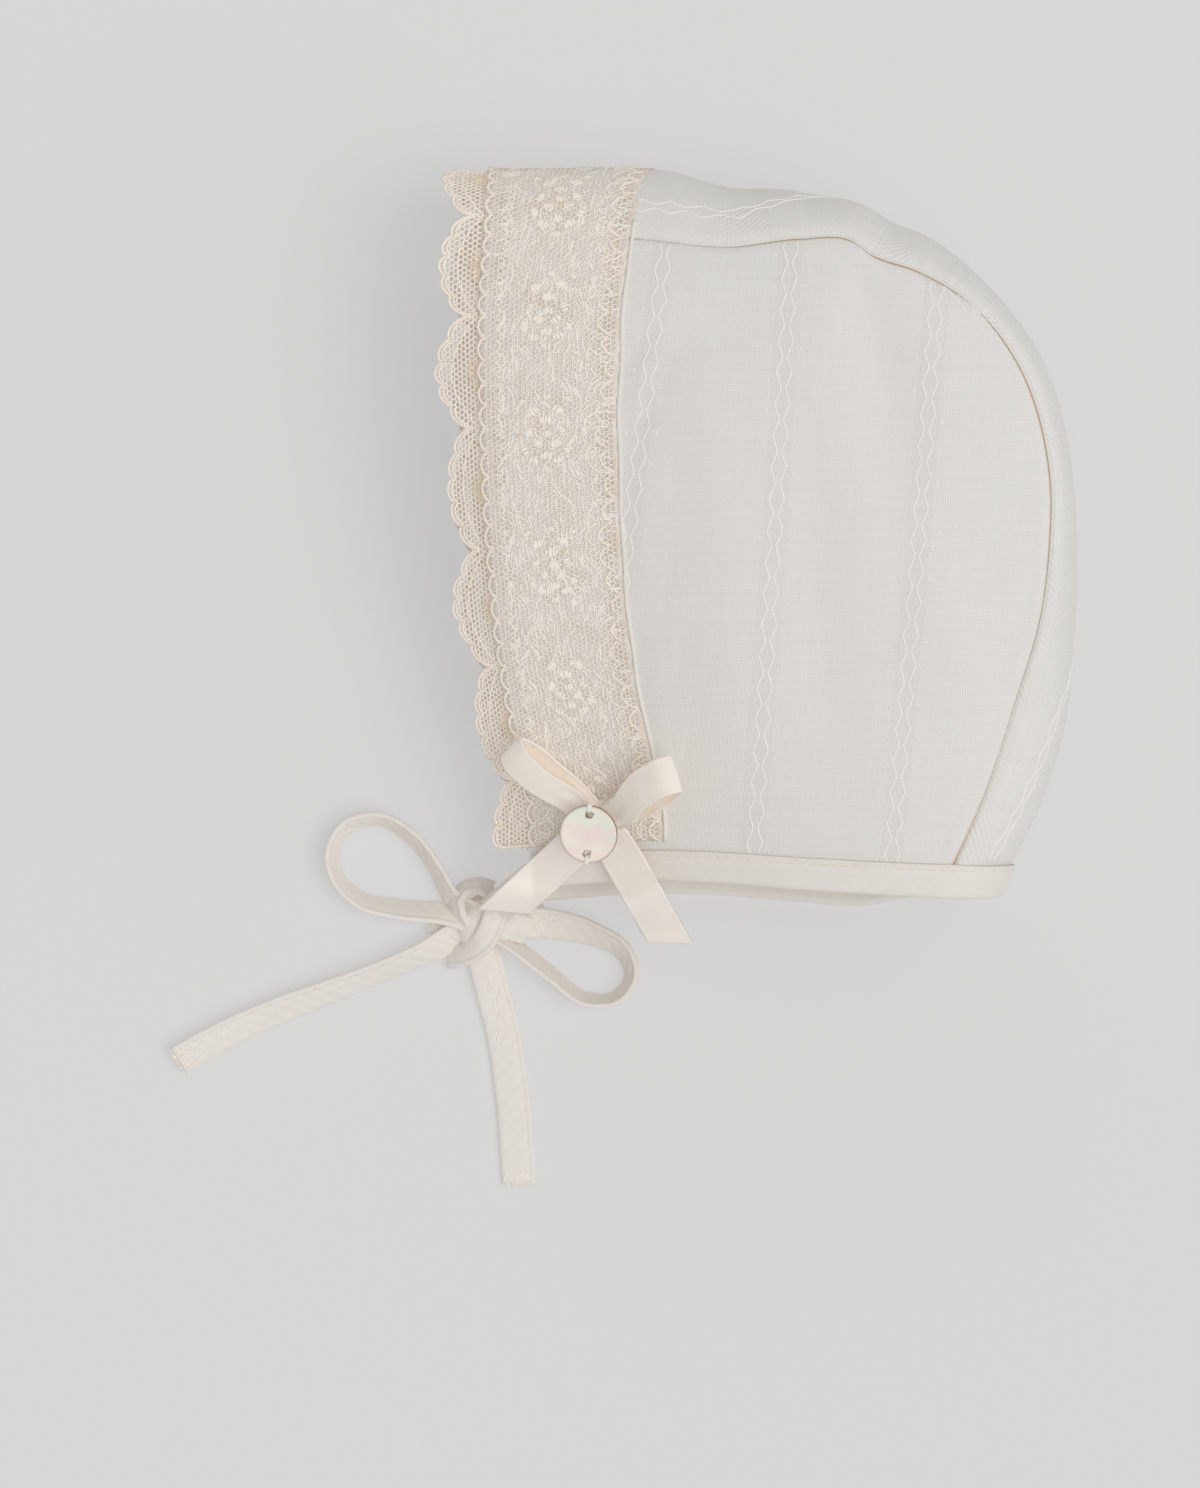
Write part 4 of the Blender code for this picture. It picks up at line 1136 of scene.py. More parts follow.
def berries():
    """Five close stitches side by side for each bud, the middle ones longer: a circle's chords."""
    spots, turns, sizes = [], [], []
    for along_it, across_it, turn, size in BERRIES:
        turn = math.radians(turn)
        for place in (-0.8, -0.4, 0.0, 0.4, 0.8):
            s = BUNCHES + along_it - 0.5 * size * place * math.sin(turn)
            t = BAND_MIDDLE + across_it + 0.5 * size * place * math.cos(turn) + 0 * BUNCHES
            spots.append(np.stack([s, t], axis=-1))
            turns.append(np.full(len(BUNCHES), turn))
            chord = size * math.sqrt(1.05 - place**2)
            sizes.append(np.tile([chord, 0.24 * size, 0.20 + 0.05 * (1 - abs(place))], (len(BUNCHES), 1)))
    spots, turns, sizes = np.concatenate(spots), np.concatenate(turns), np.concatenate(sizes)
    turns = turns + rng.uniform(-0.15, 0.15, len(turns))
    spots = spots + rng.uniform(-0.12, 0.12, spots.shape)
    kept = (spots[:, 0] > 1.5) & (spots[:, 0] < FACE_LENGTH - 1.5)
    return grains(spots[kept], turns[kept], sizes[kept], BAND_LIE + 0.10, rings=3, sides=6)


# Tan grains round the bunches of buds: painted shade on the band.
def bud_shade_grains():
    """Short tan grains under and between the buds: painted shade round the bunches."""
    count = 11
    s = (BUNCHES[:, None] + rng.normal(-0.5, 3.4, (len(BUNCHES), count))).ravel()
    t = BAND_MIDDLE + rng.normal(0.0, 2.6, len(s))
    kept = (s > 1.5) & (s < FACE_LENGTH - 1.5)
    spots = np.stack([s, t], axis=-1)[kept]
    lengths = rng.uniform(1.0, 2.6, len(spots))
    sizes = np.stack([lengths, np.full(len(spots), 0.42), np.full(len(spots), 0.16)], axis=-1)
    return grains(spots, rng.uniform(0, math.pi, len(spots)), sizes, BAND_LIE + 0.04, rings=2, sides=5)


add_lace("lace_band_garland", [berries()], satin_stitch)
add_lace("lace_band_bud_shade", [bud_shade_grains()], tan_yarn)


# %% Fine curly threads all over the band
def sway(s, t):
    """The way a thread runs: along the band in its middle, and across it near the borders."""
    near_border = np.maximum(ramp((5.5 - t) / 3.0), ramp((t - 21.0) / 3.5))
    swirl = 0.75 * np.sin(0.52 * s + 1.1 * np.sin(0.35 * t)) * np.sin(0.47 * t + 0.21 * s)
    return swirl * (1 - near_border) + near_border * (1.35 + 0.5 * np.sin(2.1 * s))


def curls(count=4100, points=5):
    """Short threads that follow the sway from where they start, in even steps."""
    s, t = rng.uniform(1.0, FACE_LENGTH - 1.0, count), rng.uniform(1.3, 27.3, count)
    step = rng.uniform(0.45, 0.95, count)
    bend, lines = rng.uniform(-0.9, 0.9, count), []
    for number in range(points):
        lines.append(np.stack([s, t], axis=-1))
        turn = sway(s, t) + bend * (number - 0.5 * points) / points
        s, t = s + step * np.cos(turn), t + step * np.sin(turn)
    lines = np.stack(lines, axis=1)
    lines = lines[(lines[..., 1] > 0.4).all(axis=1) & (lines[..., 1] < 27.7).all(axis=1)]
    return flat_cords(lines, 0.28, 0.13, BAND_LIE + 0.03, sides=5)


add_lace("lace_band_curls", [curls()], band_net_yarn)


# %% The ground of the band
def lace_ground():
    """Tan and ivory in patches: noise of the flat place (s, t), darker where each point's tone is low. The dark tan
    dots in the net's holes are painted shade.
    """
    ground, shader = new_finish("lace_ground", 0.9, Sheen_Weight=0.1, Specular_IOR_Level=0.2)
    let_glow(shader, "#FBE9D4", 0.05)
    add = partial(add_node, ground)
    place = add("UVMap", {"uv_map": "threads"})
    crest = add("Attribute", {"attribute_name": "crest"}).outputs["Fac"]
    fine = add("TexNoise", (), {"Vector": place, "Scale": 1.25, "Detail": 2.0})
    wide = add("TexNoise", (), {"Vector": place, "Scale": 0.16, "Detail": 2.0})
    # Dark tan dots where the net has holes: painted shade, strongest where the tone is low.
    dots = add("TexVoronoi", (), {"Vector": place, "Scale": 1.05})
    hole = add("MapRange", (), {"Value": dots, "From Min": 0.34, "From Max": 0.12})
    patched = add("Math", "MULTIPLY_ADD", [wide, 1.4, add("Math", "MULTIPLY_ADD", [fine, 0.9, -1.15])])
    tone = add("Math", "ADD", [patched, crest])
    cloth = add("MixRGB", {"use_clamp": True}, [tone, linear("#D6C3AC"), linear("#F1ECE6")])
    depth = add("Math", {"operation": "SUBTRACT", "use_clamp": True}, [0.80, crest])
    hole_shade_dots = add("Math", "MULTIPLY", [hole, depth])
    set_surface(ground, shader, add("MixRGB", (), [hole_shade_dots, cloth, linear("#BE9870")]))
    return ground


def add_ground():
    """A closed sheet right under the lace. Its crest is its tone: low near borders and bunches, as painted shade of
    the threads that lie thick there.
    """
    s, t = np.linspace(0.4, FACE_LENGTH - 0.4, 520)[:, None], np.linspace(0.3, 27.9, 46)[None, :]
    s, t = np.broadcast_arrays(s, t)
    valley = 1 - small_scallops(s)
    ragged = valley**1.2 * ramp((4.0 - t) / 3.0) - 0.7 * valley * ramp((t - 25.0) / 3.0)
    # Painted shade: the tone drops round each bunch of buds and along both borders.
    from_bunch = np.abs(s[..., None] - BUNCHES).min(axis=-1)
    bunch = np.exp(-((from_bunch / 6.5) ** 2) - ((t - BAND_MIDDLE) / 5.5) ** 2)
    border = np.exp(-(((t - 3.6) / 1.7) ** 2)) + 1.5 * np.exp(-(((t - 25.4) / 1.7) ** 2))
    tone = 0.82 - 0.26 * bunch - 0.42 * border
    flat = np.stack([s, t + ragged, 0 * s], axis=-1)
    lies = (BAND_LIE - 0.02, BAND_LIE - 0.12)
    points = np.concatenate([on_board(flat + [0.0, 0.0, lie]).reshape(-1, 3) for lie in lies])
    uv, crest = np.tile(flat[..., :2].reshape(-1, 2), (2, 1)), np.tile(tone.ravel(), 2)
    add_piece("lace_band_ground", points, wall_faces(*s.shape), lace_ground(), uv=uv, crest=crest)


add_ground()

# %% [markdown]
# ## Rolls, seam threads and dobby threads
# The front fold and the back edge of the band are rolled edges of white cotton, and the fold's
# roll glows as painted light. The crown seam is sewn with a thread that lies in the ditch between
# the cloths, coloured tan as painted shade of the ditch. The dobby stripes have thicker threads
# that float on the weave and swing apart and together again, like a chain of diamonds, with short
# floats on both sides.


# %% Grains in space
def grains_at(spots, ahead, up, sizes, rings=3, sides=6):
    """Grains at points in space: each lies along ahead, and stands up along up."""
    shape, quads, tips = grain_shape(rings, sides)
    ahead = unit(np.broadcast_to(ahead, spots.shape))
    side = unit(np.cross(up, ahead))
    up = np.cross(ahead, side)
    sizes = np.broadcast_to(sizes, spots.shape)[:, None] * MM
    lift = np.where(shape[:, 2] > 0, shape[:, 2], 0.3 * shape[:, 2])
    points = (
        spots[:, None]
        + (0.5 * sizes[..., 0] * shape[:, 0])[..., None] * ahead[:, None]
        + (0.5 * sizes[..., 1] * shape[:, 1])[..., None] * side[:, None]
        + (sizes[..., 2] * lift)[..., None] * up[:, None]
    )
    first = len(shape) * np.arange(len(spots))[:, None, None]
    faces = [(quads + first).reshape(-1, 4), (tips + first).reshape(-1, 3)]
    crest = np.tile(0.35 + 0.65 * np.maximum(shape[:, 2], 0), len(spots))
    return points.reshape(-1, 3), faces, crest


def tube(path, up, profile):
    """A closed tube as a (points, faces, crest) set. The crest is how far it stands up."""
    points = carried(path, up, profile * MM)
    rise = profile[..., 1] / max(np.abs(profile[..., 1]).max(), 1e-9)
    crest = np.broadcast_to(0.5 + 0.5 * rise, points.shape[:2])
    return points.reshape(-1, 3), tube_faces(*points.shape[:2]), crest.ravel()


def add_threads(name, parts, material):
    """Threads that already lie in space, as one piece."""
    points, faces, crest = merged(parts)
    return add_piece(name, points, faces, material, crest=crest)


def add_roll(name, path, up, profile, material):
    """A roll of cloth, with its weave running round and along it."""
    points = carried(path, up, profile * MM)
    uv = path_uv(points)
    return add_piece(name, points.reshape(-1, 3), tube_faces(*points.shape[:2]), material, uv=uv)


# %% The rolled edges of the band
roll_cotton = woven_cotton("cotton_voile_piping", light="#F3F0EB", dark="#E3DDD4", glow=("#FFF0E0", 0.04))
# The fold's roll glows far more than the other cotton: painted light, which keeps it bright on its shaded slope.
glowing_fold_cotton = woven_cotton("cotton_voile_fold", light="#F8F6F2", dark="#ECE8E1", glow=("#FFEEDC", 0.20))
CROWN_AT = (133.5, 184.0)  # where the two crown seams cross the front, in mm round the face
fold_places = np.linspace(0.3, FACE_LENGTH - 0.3, 420)
fold_path = on_board(np.stack([fold_places, 0 * fold_places + 0.15, 0 * fold_places + 0.55], axis=-1))
fold_row = np.interp(fold_places, board_s, np.arange(len(board_s)))
fold_up = between(board_normals, np.stack([fold_row, 0 * fold_places + fold_column], axis=-1))
add_roll("front_fold_roll", fold_path, fold_up, circle(0.44, 10), glowing_fold_cotton)
back_drawing = np.stack([fold_places, 28.0 + 0.12 * np.sin(fold_places / 3.1), 0 * fold_places + 1.18], axis=-1)
back_path = on_board(back_drawing)
back_section = circle(0.40, 12, flat=0.85)
for side_name, chosen in (("left", fold_places < CROWN_AT[0]), ("right", fold_places > CROWN_AT[1])):
    add_roll(f"band_back_roll_{side_name}", back_path[chosen], fold_up[chosen], back_section, roll_cotton)


# %% The crown seam's thread, tan as painted shade of the ditch
def seam_thread(side, up):
    """A thread along the seam, which dips at the end of each stitch."""
    stitch, shares = 2.3, np.linspace(0.002, 0.998, 1500)
    path, _ = seam_line(shares, side)
    lengths = lengths_along(path) / MM
    arch = np.abs(np.sin(math.pi * lengths / stitch)) ** 0.5
    height = (0.82 + 0.10 * arch) * MM
    return tube(path + height[:, None] * np.array(up), np.array(up), circle(0.17, 6))


# The seam's stitches are tan, painted shade of the ditch that they lie in.
seam_threads = [seam_thread("left", (0.0, 0.0, 1.0)), seam_thread("right", (0.0, 0.0, -1.0))]
add_threads("crown_seam_thread", seam_threads, sewing_thread)

# %% Dobby threads of the left panel
DOBBY_PERIOD, DOBBY_MIDDLE, DOBBY_SWING = 6.3, 0.98, 0.46


def dobby_swing(v):
    """Half the gap between the two threads: a rounded zigzag of the millimetres along them."""
    phase = 2 * math.pi * v / DOBBY_PERIOD
    return DOBBY_MIDDLE + DOBBY_SWING * (np.cos(phase) + 0.11 * np.cos(3 * phase))


def dobby_on_panel(grid, normals):
    """The zigzag threads and side floats of every stripe, looked up on the panel by x and y."""
    parts = []
    for number, stripe in enumerate(STRIPES_LEFT):
        y = np.arange(62.5, -63.5, -0.35)
        phase = y + 2.1 * number
        for way in (-1, 1):
            x = stripe_x(stripe, y * MM) / MM + way * dobby_swing(phase)
            places = find_on(grid, np.stack([x, y], axis=-1) * MM)
            path = between(grid, places)
            good = (np.hypot(*(path[:, :2] / MM - np.stack([x, y], axis=-1)).T) < 0.15) & (places[:, 1] > 3)
            path, up = path[good], between(normals, places)[good]
            parts.append(tube(path + 0.03 * MM * up, up, circle(0.16, 6, flat=0.75)))
            float_y = np.arange(61.5, -62.5, -DOBBY_PERIOD) - (2.1 * number) % DOBBY_PERIOD
            float_x = stripe_x(stripe, float_y * MM) / MM + way * 3.0
            places = find_on(grid, np.stack([float_x, float_y], axis=-1) * MM)
            spots = between(grid, places)
            kept = np.hypot(*(spots[:, :2] / MM - np.stack([float_x, float_y], axis=-1)).T) < 0.15
            ahead = np.array([0.06, 1.0, 0.0])
            parts.append(grains_at(spots[kept], ahead, between(normals, places)[kept], (1.6, 0.24, 0.09)))
    return parts


left_normals = normals_of(left_outer)
add_threads("dobby_threads_left", dobby_on_panel(left_outer, left_normals), dobby_yarn)


# %% Dobby threads of the crown strip
def dobby_on_strip():
    """The same chain along the strip, at a share of the way across it."""
    parts, normals = [], normals_of(strip_outer)
    length = strip_v[0, -1] / MM
    v = np.arange(30.0, length - 7.0, 0.35)
    column = np.interp(v, strip_v[0] / MM, np.arange(strip_v.shape[1]))
    across_it = between(strip_u.T[..., None], np.stack([column, 0 * column], axis=-1))
    for table in STRIPES_STRIP:
        share = np.interp(v / length, *np.array(table).T)
        for way in (-1, 1):
            total = np.interp(column, np.arange(strip_u.shape[1]), strip_u[-1]) / MM
            wanted = share * total + way * dobby_swing(v) + 0 * across_it[:, 0]
            near = strip_u[:, np.round(column).astype(int)] / MM
            low = (near <= wanted).sum(axis=0) - 1
            every = np.arange(len(v))
            row = low + (wanted - near[low, every]) / (near[low + 1, every] - near[low, every])
            places = np.stack([row, column], axis=-1)
            path, up = between(strip_outer, places), between(normals, places)
            parts.append(tube(path + 0.03 * MM * up, up, circle(0.15, 6, flat=0.75)))
    return parts


add_threads("dobby_threads_crown", dobby_on_strip(), dobby_yarn)

# %% [markdown]
# ## The binding round the neck
# A bias strip is folded over the neck edge and sewn through all layers, with the stitches a
# millimetre below its top edge. Its section is a flat U with rounded ends, carried round the neck
# from one front corner to the other. Bias cloth has its weave at 45 degrees.

# %% Neck binding
bias_cotton = woven_cotton("cotton_voile_bias", turn=45.0, light="#F3F0EB", dark="#E1DCD5", glow=("#FFD9B4", 0.045))


def folded_section(width, upper, lower, thick):
    """A closed outline round a U: a leg out, half a circle, and a leg back, with round ends."""
    out = np.linspace(-width, 0.2, 16)
    bend = np.linspace(math.pi / 2, -math.pi / 2, 9)[1:-1]
    radius = 0.5 * (upper - lower)
    middle = 0.5 * (upper + lower)
    x = np.concatenate([out, 0.2 + radius * np.cos(bend), out[::-3]])
    y = np.concatenate([0 * out + upper, middle + radius * np.sin(bend), 0 * out[::-3] + lower])
    line = np.stack([x, y], axis=-1)
    run = unit(np.gradient(line, axis=0))
    away = np.stack([-run[:, 1], run[:, 0]], axis=-1)
    lengths = lengths_along(line)
    near_end = np.minimum(lengths, lengths[-1] - lengths)
    half = 0.5 * thick * np.sqrt(1 - (1 - np.clip(near_end / (0.5 * thick), 0, 1)) ** 2)[:, None]
    groove = 0.22 * np.exp(-(((lengths - 1.0) / 0.35) ** 2))[:, None]
    swell = 0.12 * np.exp(-(((lengths - 2.6) / 1.4) ** 2))[:, None]
    return np.concatenate([line + (half + swell - groove) * away, (line - half * away)[-2:0:-1]])


def add_binding():
    ends = np.array([BAND_END, 1.0])
    fine = np.linspace(0, 1, 190)
    left = panel("left", fine[None, :], ends[:, None])
    right = panel("right", fine[::-1][None, :], ends[:, None])
    nape = strip((CROWN_SHARE + (1 - CROWN_SHARE) * ends)[:, None], np.linspace(0, 1, 60)[None, 1:-1])
    path = np.concatenate([left, nape, right], axis=1)
    down_way = unit(path[1] - path[0])
    normal = unit(np.cross(down_way, np.gradient(path[1], axis=0)))
    section = folded_section(BINDING_WIDTH / MM, 1.62, -0.8, 0.7) * MM
    grid = path[1][:, None] + section[:, :1] * down_way[:, None] + section[:, 1:] * normal[:, None]
    grid[..., 2] = np.maximum(grid[..., 2], 0.0)
    uv = path_uv(grid)
    faces = tube_faces(*grid.shape[:2])
    add_piece("neck_binding_cloth", grid.reshape(-1, 3), faces, bias_cotton, ("neck_binding",), uv=uv)
    return grid, normal


binding_grid, binding_normal = add_binding()


# %% Stitches along a cloth
light_stitch = spun_yarn("sewn_stitches", "#EADFD0", "#D6C4AE", roughness=0.6)


ASKEW = 0.08  # how far a stitch turns off its line


def stitch_row(line, up, gap, size):
    """One grain every gap millimetres along a line in space, lying along it, a little askew."""
    lengths = lengths_along(line) / MM
    places = np.arange(0.8 * gap, lengths[-1] - 0.5 * gap, gap)
    spots = np.stack([np.interp(places, lengths, line[:, k]) for k in range(3)], axis=-1)
    ahead = np.stack([np.interp(places, lengths, np.gradient(line[:, k])) for k in range(3)], axis=-1)
    over = np.stack([np.interp(places, lengths, up[:, k]) for k in range(3)], axis=-1)
    ahead = unit(ahead) + ASKEW * rng.standard_normal((len(places), 1)) * unit(np.cross(over, ahead))
    return grains_at(spots, ahead, over, size, rings=3, sides=6)


binding_stitches = stitch_row(binding_grid[:, 3], binding_normal, 2.2, (1.55, 0.26, 0.14))
add_threads("binding_stitches", [binding_stitches], light_stitch)

# %% [markdown]
# ## The satin ribbon bow
# Two loops and two tails of 8 mm double-faced satin cross under the button. Satin has long silk
# floats on its face, so it is smoother and glossier than the cotton, and woven edges, called
# selvedges, that are a little thicker. The ribbon is a sheet 0.3 mm thick, gathered into small
# pleats under the button, and it follows the same tables as the CAD part.

# %% Satin
FLOAT = 0.44  # millimetres: the real floats are half as far apart, which is too fine to show


def satin_weave(name, light, dark):
    """Fine lines across and along the ribbon: a tone from two sines and a slow noise."""
    satin, shader = new_finish(name, 0.45, Sheen_Weight=0.3, Sheen_Roughness=0.35, Specular_IOR_Level=0.4)
    let_glow(shader, "#FBF1E6", 0.065)
    add = partial(add_node, satin)
    threads = add("UVMap", {"uv_map": "threads"})
    place = add("SeparateXYZ", (), [threads]).outputs
    lines = [add("Math", "SINE", [add("Math", "MULTIPLY", [place[axis], 2 * math.pi / FLOAT])]) for axis in "XY"]
    grid = add("Math", "ADD", lines)
    cloud = add("TexNoise", (), {"Vector": threads, "Scale": 0.30, "Detail": 2.0})
    tone = add("Math", "MULTIPLY_ADD", [grid, 0.10, cloud])
    colour = add("MixRGB", {"use_clamp": True}, [tone, linear(dark), linear(light)])
    set_surface(satin, shader, colour, grid, 0.12, 0.00005)
    return satin


# The loops and the tails are one ribbon, but the loops get a lighter copy of the satin: painted light.
lit_loop_satin = satin_weave("satin_ribbon_loops_painted_light", "#FDF6ED", "#F6EBDC")
tail_satin = satin_weave("satin_ribbon_tails", "#FBF4EC", "#F4EAE0")

# %% The bow's seat and tables
RIBBON_WIDTH, RIBBON, BOW_REACH, BOW_TAIL, BOW_SPREAD = 0.0080, 0.0010, 0.0240, 0.0270, 0.0060
BOW_SEAT = (0.222, 0.115)
LOOP_PROFILE = np.array(
    (
        # along, lift, gather
        (-0.08, 0.020, 0.62),
        (0.30, 0.015, 0.84),
        (0.62, 0.040, 0.97),
        (0.90, 0.105, 1.00),
        (1.00, 0.200, 1.00),
        (0.93, 0.280, 1.00),
        (0.74, 0.285, 1.00),
        (0.50, 0.210, 0.94),
        (0.30, 0.120, 0.80),
        (-0.06, 0.085, 0.60),
    )
)
BOW_LOOPS = (
    # turn, roll, size, height
    (138.0, -10.0, 0.98, 0.72),
    (38.0, -30.0, 1.10, 0.95),
)
BOW_TAILS = (
    # turn, reach, drop beyond the neck edge, slant
    (223.0, 1.03, 0.42, -0.90),
    (299.5, 1.07, 0.34, 0.60),
)


def top_height(spots):
    """The height of the left panel's inner face at places (x, y)."""
    return between(left_inner, find_on(left_inner, spots))[:, 2]


def bow_frame():
    """The bow's seat on the lace, and its side, up and normal, from five points round it."""
    step = BOW_SPREAD / np.array([HOOD_DEPTH, HOOD_HEIGHT])
    back, up = BOW_SEAT[0] + step[0] * np.array([0, 1, -1, 0, 0]), BOW_SEAT[1] + step[1] * np.array([0, 0, 0, 1, -1])
    points = placed(back, up, 0.0)
    points[:, 2] = top_height(points[:, :2])
    up = unit(points[3] - points[4])
    normal = unit(np.cross(points[1] - points[2], up))
    return points[0] + (CLOTH + 2 * GAP + LACE) * normal, np.cross(up, normal), up, normal


seat, seat_side, seat_up, seat_normal = bow_frame()
seat = seat + 0.5 * RIBBON * seat_normal
print("bow seat in mm:", (seat / MM).round(1))


# %% The ribbon's loops and tails
def ribbon_sheet(grid):
    """A closed sheet round a grid of points, thicker at its two selvedges."""
    rows, columns = grid.shape[:2]
    edge = np.where(np.arange(columns)[:, None] < columns / 2, grid[:, :1], grid[:, -1:])
    from_edge = np.linalg.norm(grid - edge, axis=-1)
    half = 0.14 * MM + 0.13 * MM * np.exp(-((from_edge / (0.5 * MM)) ** 2))
    normals = normals_of(grid)
    points = np.concatenate([(grid + half[..., None] * normals), (grid - half[..., None] * normals)])
    over, run = lengths_along(grid, axis=1), lengths_along(grid)
    uv = np.stack([over, run[:, columns // 2, None] + 0 * over], axis=-1).reshape(-1, 2) / MM
    return points.reshape(-1, 3), wall_faces(rows, columns), np.tile(uv, (2, 1))


def bow_loop(number, turn, roll, size, height):
    """A loop: out on the lace, round its end and back, with pleats that die out from the button.

    It rolls on its edge as a whole, so what was lift becomes partly a shift to its side.
    """
    ahead = math.cos(math.radians(turn)) * seat_side + math.sin(math.radians(turn)) * seat_up
    aside = np.cross(seat_normal, ahead)
    reach, lift, gather = along(LOOP_PROFILE, np.linspace(0, 1, 110)).T
    lift = 0.085 + (lift - 0.085) * np.where(lift > 0.085, height, 1.0)
    out = reach * (1.0 + (size - 1.0) * ramp(reach))
    tip = math.radians(roll) * ramp((reach - 0.2) / 0.5)
    rest = 0.5 * RIBBON_WIDTH * np.abs(np.sin(tip)) + 0.3 * number * RIBBON
    level, rise = -lift * np.sin(tip) * BOW_REACH, lift * np.cos(tip) * BOW_REACH + rest
    centres = seat + np.outer(out * BOW_REACH, ahead) + np.outer(level, aside) + np.outer(rise, seat_normal)
    width_way = np.outer(np.cos(tip), aside) + np.outer(np.sin(tip), seat_normal)
    share = np.linspace(-0.5, 0.5, 25)
    grid = centres[:, None] + share[:, None] * RIBBON_WIDTH * (width_way * gather[:, None])[:, None]
    pleats = (1 - ramp(reach / 0.6))[:, None] * np.cos(2 * math.pi * (2.2 * share + 0.3 * number))
    cup = ramp(reach / 0.5)[:, None] * (0.5 - 2.0 * share**2)
    return grid + (0.30 * MM * pleats + 0.55 * MM * cup)[..., None] * normals_of(grid)


def bow_tail(number, turn, reach, drop, slant):
    """A tail that lies on the lace, and hangs down a little beyond the neck edge."""
    ahead = np.array([math.cos(math.radians(turn)), math.sin(math.radians(turn)), 0.0])
    part = np.linspace(0, 1, 60)
    centres = seat + np.outer((part * (reach + 0.12) - 0.12) * BOW_TAIL, ahead)
    width_way = (0.8 + 0.2 * ramp(part / 0.4))[:, None] * np.cross([0.0, 0.0, 1.0], ahead)
    width_way = width_way + np.outer(slant * ramp(2 * part - 1), ahead)
    share = np.linspace(-0.5, 0.5, 21)
    grid = centres[:, None] + share[:, None] * RIBBON_WIDTH * width_way[:, None]
    lie = 1.2 * (CLOTH + LACE + 2 * GAP + 0.5 * RIBBON) + 0.35 * number * RIBBON
    hem = placed(0.0, NECK_EDGE[0][1], 0.0)[1] - 2 * MM
    beyond = ramp((hem - centres[:, 1]) / (0.35 * BOW_TAIL))[:, None]
    height = top_height(grid[..., :2].reshape(-1, 2)).reshape(grid.shape[:2])
    pleats = 0.16 * MM * (1 - ramp(part / 0.5))[:, None] * np.cos(2 * math.pi * (1.6 * share + 0.4 * number))
    sway = 0.22 * MM * np.sin(7.0 * part + 2 * number)[:, None] * (0.4 + share)
    grid[..., 2] = height + lie - beyond * drop * BOW_TAIL + pleats + sway
    return grid[:, ::-1]


for name, shape, table, material in (
    ("ribbon_bow_loops", bow_loop, BOW_LOOPS, lit_loop_satin),
    ("ribbon_bow_tails", bow_tail, BOW_TAILS, tail_satin),
):
    points, faces, uv = merged([ribbon_sheet(shape(number, *row)) for number, row in enumerate(table)])
    add_piece(name, points, faces, material, ("ribbon_bow",), uv=uv)

# %% [markdown]
# ## The shell button
# The button is turned from mother-of-pearl, whose thin layers give pale pink and green clouds
# under a polished surface. Its rim and the walls of its two holes are painted brown, as painted
# shade. It is a profile turned round the button's axis, with two holes cut by Boolean, and ivory
# thread goes from each hole over the rim. Its face is plain.

# %% Mother-of-pearl
def mother_of_pearl():
    """Cream with slow pink and green noise under a clear coat, brown where the crest is low: painted shade on the
    rim and in the holes.
    """
    pearl, shader = new_finish("mother_of_pearl", 0.28, Coat_Weight=0.5, Coat_Roughness=0.08, IOR=1.53)
    let_glow(shader, "#FBEEDD", 0.04)
    add = partial(add_node, pearl)
    place, crest = add("TexCoord").outputs["Object"], add("Attribute", {"attribute_name": "crest"}).outputs["Fac"]
    layered = add("Mapping", (), {"Vector": place, "Rotation": (0.0, 0.0, 0.7), "Scale": (1.0, 1.7, 1.0)})
    pink = add("TexNoise", (), {"Vector": layered, "Scale": 150.0, "Detail": 2.0})
    green = add("TexNoise", {"noise_dimensions": "4D"}, {"Vector": layered, "W": 3.7, "Scale": 170.0, "Detail": 2.0})
    pink_share = add("MapRange", (), {"Value": pink, "From Min": 0.42, "From Max": 0.62})
    green_share = add("MapRange", (), {"Value": green, "From Min": 0.50, "From Max": 0.68})
    rosy = add("MixRGB", (), [pink_share, linear("#FBF1E2"), linear("#F9E4E2")])
    cloudy = add("MixRGB", (), [green_share, rosy, linear("#EDF2E2")])
    rim_and_hole_shade = add("MixRGB", (), [crest, linear("#7A5636"), cloudy])
    layers = add("TexWave", (), {"Vector": layered, "Scale": 420.0, "Distortion": 3.0, "Detail": 2.0}).outputs["Fac"]
    set_surface(pearl, shader, rim_and_hole_shade, layers, 0.05, 0.00005)
    return pearl


# %% The button
# Where the crest column is low, the rim is painted brown: painted shade on the button's side.
BUTTON_PROFILE = np.array(
    (
        # radius, height, crest: from the back, round the rim, to the middle of the face, in mm
        (4.6, 0.00, 0.6),
        (5.3, 0.05, 0.4),
        (5.75, 0.25, 0.0),
        (5.95, 0.60, 0.0),
        (6.0, 0.90, 0.0),
        (5.98, 1.22, 0.0),
        (5.90, 1.42, 0.35),
        (5.72, 1.54, 0.75),
        (5.40, 1.60, 1.0),
        (5.05, 1.57, 1.0),
        (4.60, 1.50, 1.0),
        (3.20, 1.46, 1.0),
        (1.20, 1.45, 1.0),
    )
)
BUTTON_HOLE_SPACING, BUTTON_HOLE = 8.4, 1.6
BUTTON_LEVEL, BUTTON_THICKNESS, BUTTON_DIAMETER = 1.6, 0.0016, 0.0120
facing = unit(seat_normal + np.array([0.0, 0.0, BUTTON_LEVEL]))
button_up = unit(seat_up - (seat_up @ facing) * facing)
button_frame = np.array([np.cross(button_up, facing), button_up, facing])
stack = 0.12 * BOW_REACH + RIBBON + GAP + 0.5 * BUTTON_THICKNESS
spread = 0.5 * BUTTON_DIAMETER * np.linalg.norm(np.cross(seat_normal, facing))
button_base = seat + stack * seat_normal + (spread - 0.5 * BUTTON_THICKNESS) * facing


